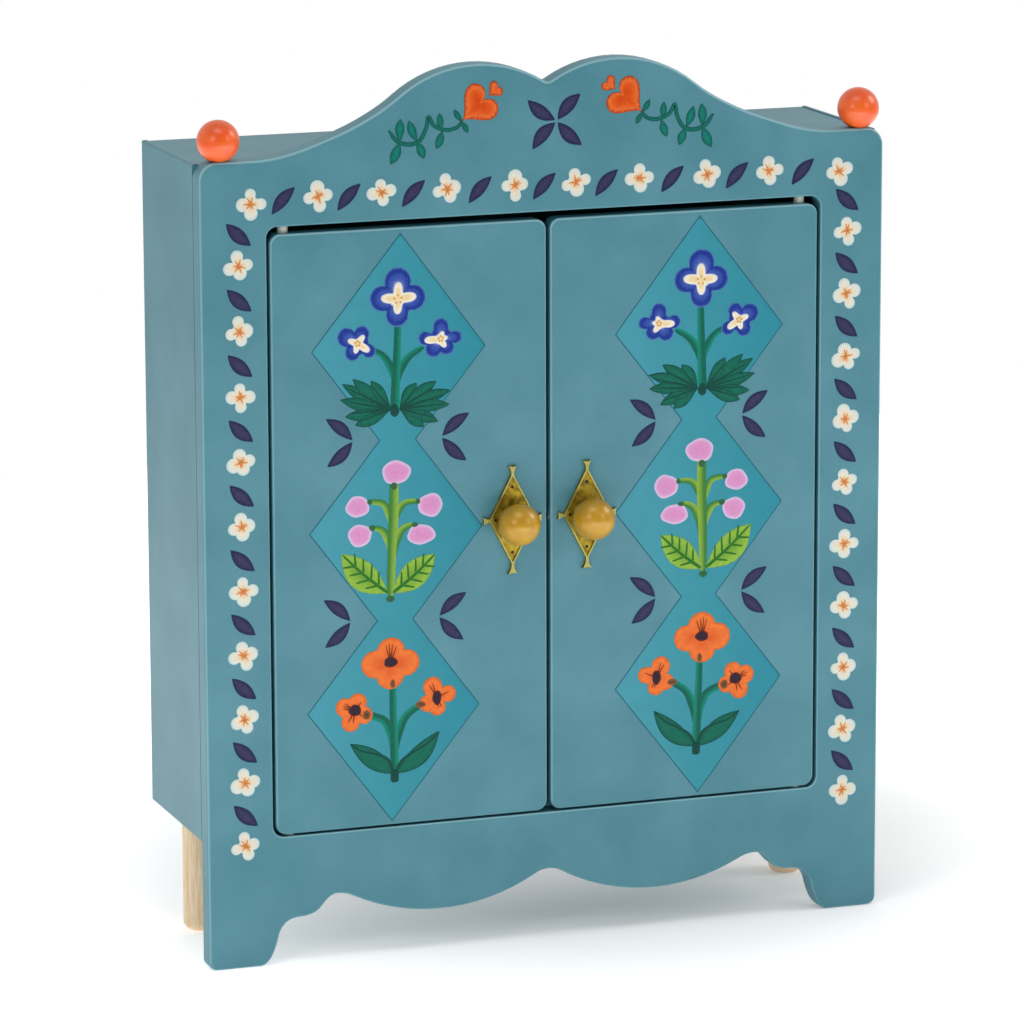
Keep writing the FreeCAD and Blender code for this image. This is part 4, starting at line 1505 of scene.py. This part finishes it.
@dataclass(frozen=True)
class SoftBox:
    """A rectangular soft box that faces the wardrobe and doesn't show itself."""

    name: str
    azimuth: float             # as for bearing
    elevation: float
    reach: float               # distance from its aim, in metres
    size: tuple[float, float]  # width and height, in metres
    power: float               # watts
    aim_z: float = 0.15

    def hang(self) -> None:
        """Hangs the soft box."""
        direction = bearing(self.azimuth, self.elevation)
        data = bpy.data.lights.new(self.name, "AREA")
        data.shape = "RECTANGLE"
        data.size, data.size_y = self.size
        data.energy = self.power
        lamp = linked(self.name, data)
        lamp.location = Vector((0, 0, self.aim_z)) + direction * self.reach
        lamp.rotation_euler = direction.to_track_quat("Z", "Y").to_euler()
        lamp.visible_camera = False


@dataclass
class Studio:
    """A white floor, a white room, the soft boxes and the camera."""

    azimuth: float = -19.634
    elevation: float = 11.835
    roll: float = -0.17
    distance: float = 1.8924
    lens_mm: float = 199.48
    aim_z: float = 0.150
    aim_offset: tuple[float, float] = (0.012286, 0.002671)
    paper: float = 0.8         # half the side of the paper that the wardrobe stands on
    shade_centre: tuple[float, float, float] = (0.05, 0.08, 0.0)  # where the paper glows least
    shade_reach: tuple[float, float] = (0.05, 0.32)  # distances from it between which the glow rises
    glow: tuple[float, float] = (0.09, 0.9)          # from this strength to this
    front_light: float = 0.27  # light from the room in front of the wardrobe
    back_light: float = 0.8    # and from behind it
    boxes: tuple[SoftBox, ...] = (
        SoftBox("left_soft_box", -50.0, 24.0, 0.95, (0.2, 0.3), 1.0),
        SoftBox("right_soft_box", 34.0, 24.0, 0.95, (0.2, 0.3), 0.7),
        SoftBox("top_soft_box", -30.0, 65.0, 0.9, (0.5, 0.25), 1.2),
        SoftBox("back_soft_box", 80.0, 35.0, 1.1, (0.4, 0.4), 2.5),
        SoftBox("low_fill", 4.0, 0.0, 0.5, (0.7, 0.06), 0.5, aim_z=0.035),
    )

    def camera(self) -> None:
        """Places the camera on a sphere round the front face's middle, level but for its roll."""
        back, roll = bearing(self.azimuth, self.elevation), self.roll * DEG
        right = (-back).cross(Vector((0, 0, 1))).normalized()
        up = right.cross(-back)
        x_axis = right * math.cos(roll) + up * math.sin(roll)
        y_axis = up * math.cos(roll) - right * math.sin(roll)
        front_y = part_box("front_frame")[0][1]
        aim = Vector((0, front_y, self.aim_z))
        place = aim + back * self.distance - x_axis * self.aim_offset[0] - y_axis * self.aim_offset[1]
        data = bpy.data.cameras.new("studio_camera")
        data.lens = self.lens_mm
        data.sensor_width = 36.0
        data.clip_start, data.clip_end = 0.05, 20.0
        camera = linked("studio_camera", data)
        rows = [[x_axis[i], y_axis[i], back[i], place[i]] for i in range(3)]
        camera.matrix_world = Matrix([*rows, [0, 0, 0, 1]])
        bpy.context.scene.camera = camera

    def floor(self) -> None:
        """Lays a matt white paper that brightens away from the feet, into the white room."""
        material, tree, place = blank_material("matt_white_paper")
        inputs = {0: place, 1: self.shade_centre}
        away = add(tree, "VectorMath", inputs, operation="DISTANCE").outputs["Value"]
        glow = remap(tree, away, self.shade_reach, self.glow, interpolation_type="SMOOTHSTEP")
        surface(
            tree,
            {
                "Base Color": (0.93, 0.93, 0.93, 1),
                "Roughness": 0.9,
                "Specular IOR Level": 0.1,
                "Emission Color": (1, 1, 1, 1),
                "Emission Strength": glow,
            },
        )
        mesh = bpy.data.meshes.new("studio_floor")
        half = self.paper
        corners = [(-half, -half, 0), (half, -half, 0), (half, half, 0), (-half, half, 0)]
        mesh.from_pydata(corners, [], [(0, 1, 2, 3)])
        mesh.materials.append(material)
        linked("studio_floor", mesh)

    def room(self) -> None:
        """Lights the room, less in front than behind, makes it look white and shows colours as they are."""
        world = bpy.data.worlds.new("white_room")
        world.use_nodes = True
        tree = world.node_tree
        tree.nodes.clear()
        toward = add(tree, "SeparateXYZ", {"Vector": add(tree, "TexCoord").outputs["Generated"]})
        strength = remap(tree, toward.outputs["Y"], (-0.6, 0.6), (self.front_light, self.back_light))
        given = add(tree, "Background", {"Strength": strength, "Color": (1, 1, 1, 1)})
        seen = add(tree, "Background", {"Strength": 1.0, "Color": (1, 1, 1, 1)})
        pick = add(
            tree,
            "MixShader",
            {
                "Fac": add(tree, "LightPath").outputs["Is Camera Ray"],
                1: given.outputs["Background"],
                2: seen.outputs["Background"],
            },
        )
        add(tree, "OutputWorld", {"Surface": pick.outputs["Shader"]})
        scene = bpy.context.scene
        scene.world = world
        scene.view_settings.view_transform = "Standard"
        scene.view_settings.look = "None"

    def build(self) -> None:
        """Builds the whole studio."""
        self.camera()
        self.floor()
        self.room()
        for box in self.boxes:
            box.hang()


def main() -> None:
    """Builds the finishes, the carcass, the doors, the knobs and the studio, in that order."""
    logging.basicConfig(level=logging.INFO, format="%(name)s: %(message)s")
    palette = Palette()
    carcass = Carcass(palette)
    carcass.dress()
    carcass.paint_border()
    carcass.paint_crown()
    for side in Side:
        door = DoorLeaf(palette, side)
        door.dress()
        door.paint_column()
        door.paint_waist_leaves()
        door.paint_pansies()
        door.paint_berries()
        door.paint_poppies()
        KnobSet(palette, side).build()
        Bead(f"{side.word}_finial_ball", CABINET, palette.orange, "orange_lacquer", "Z").make()
    Studio().build()


if __name__ == "__main__":
    main()
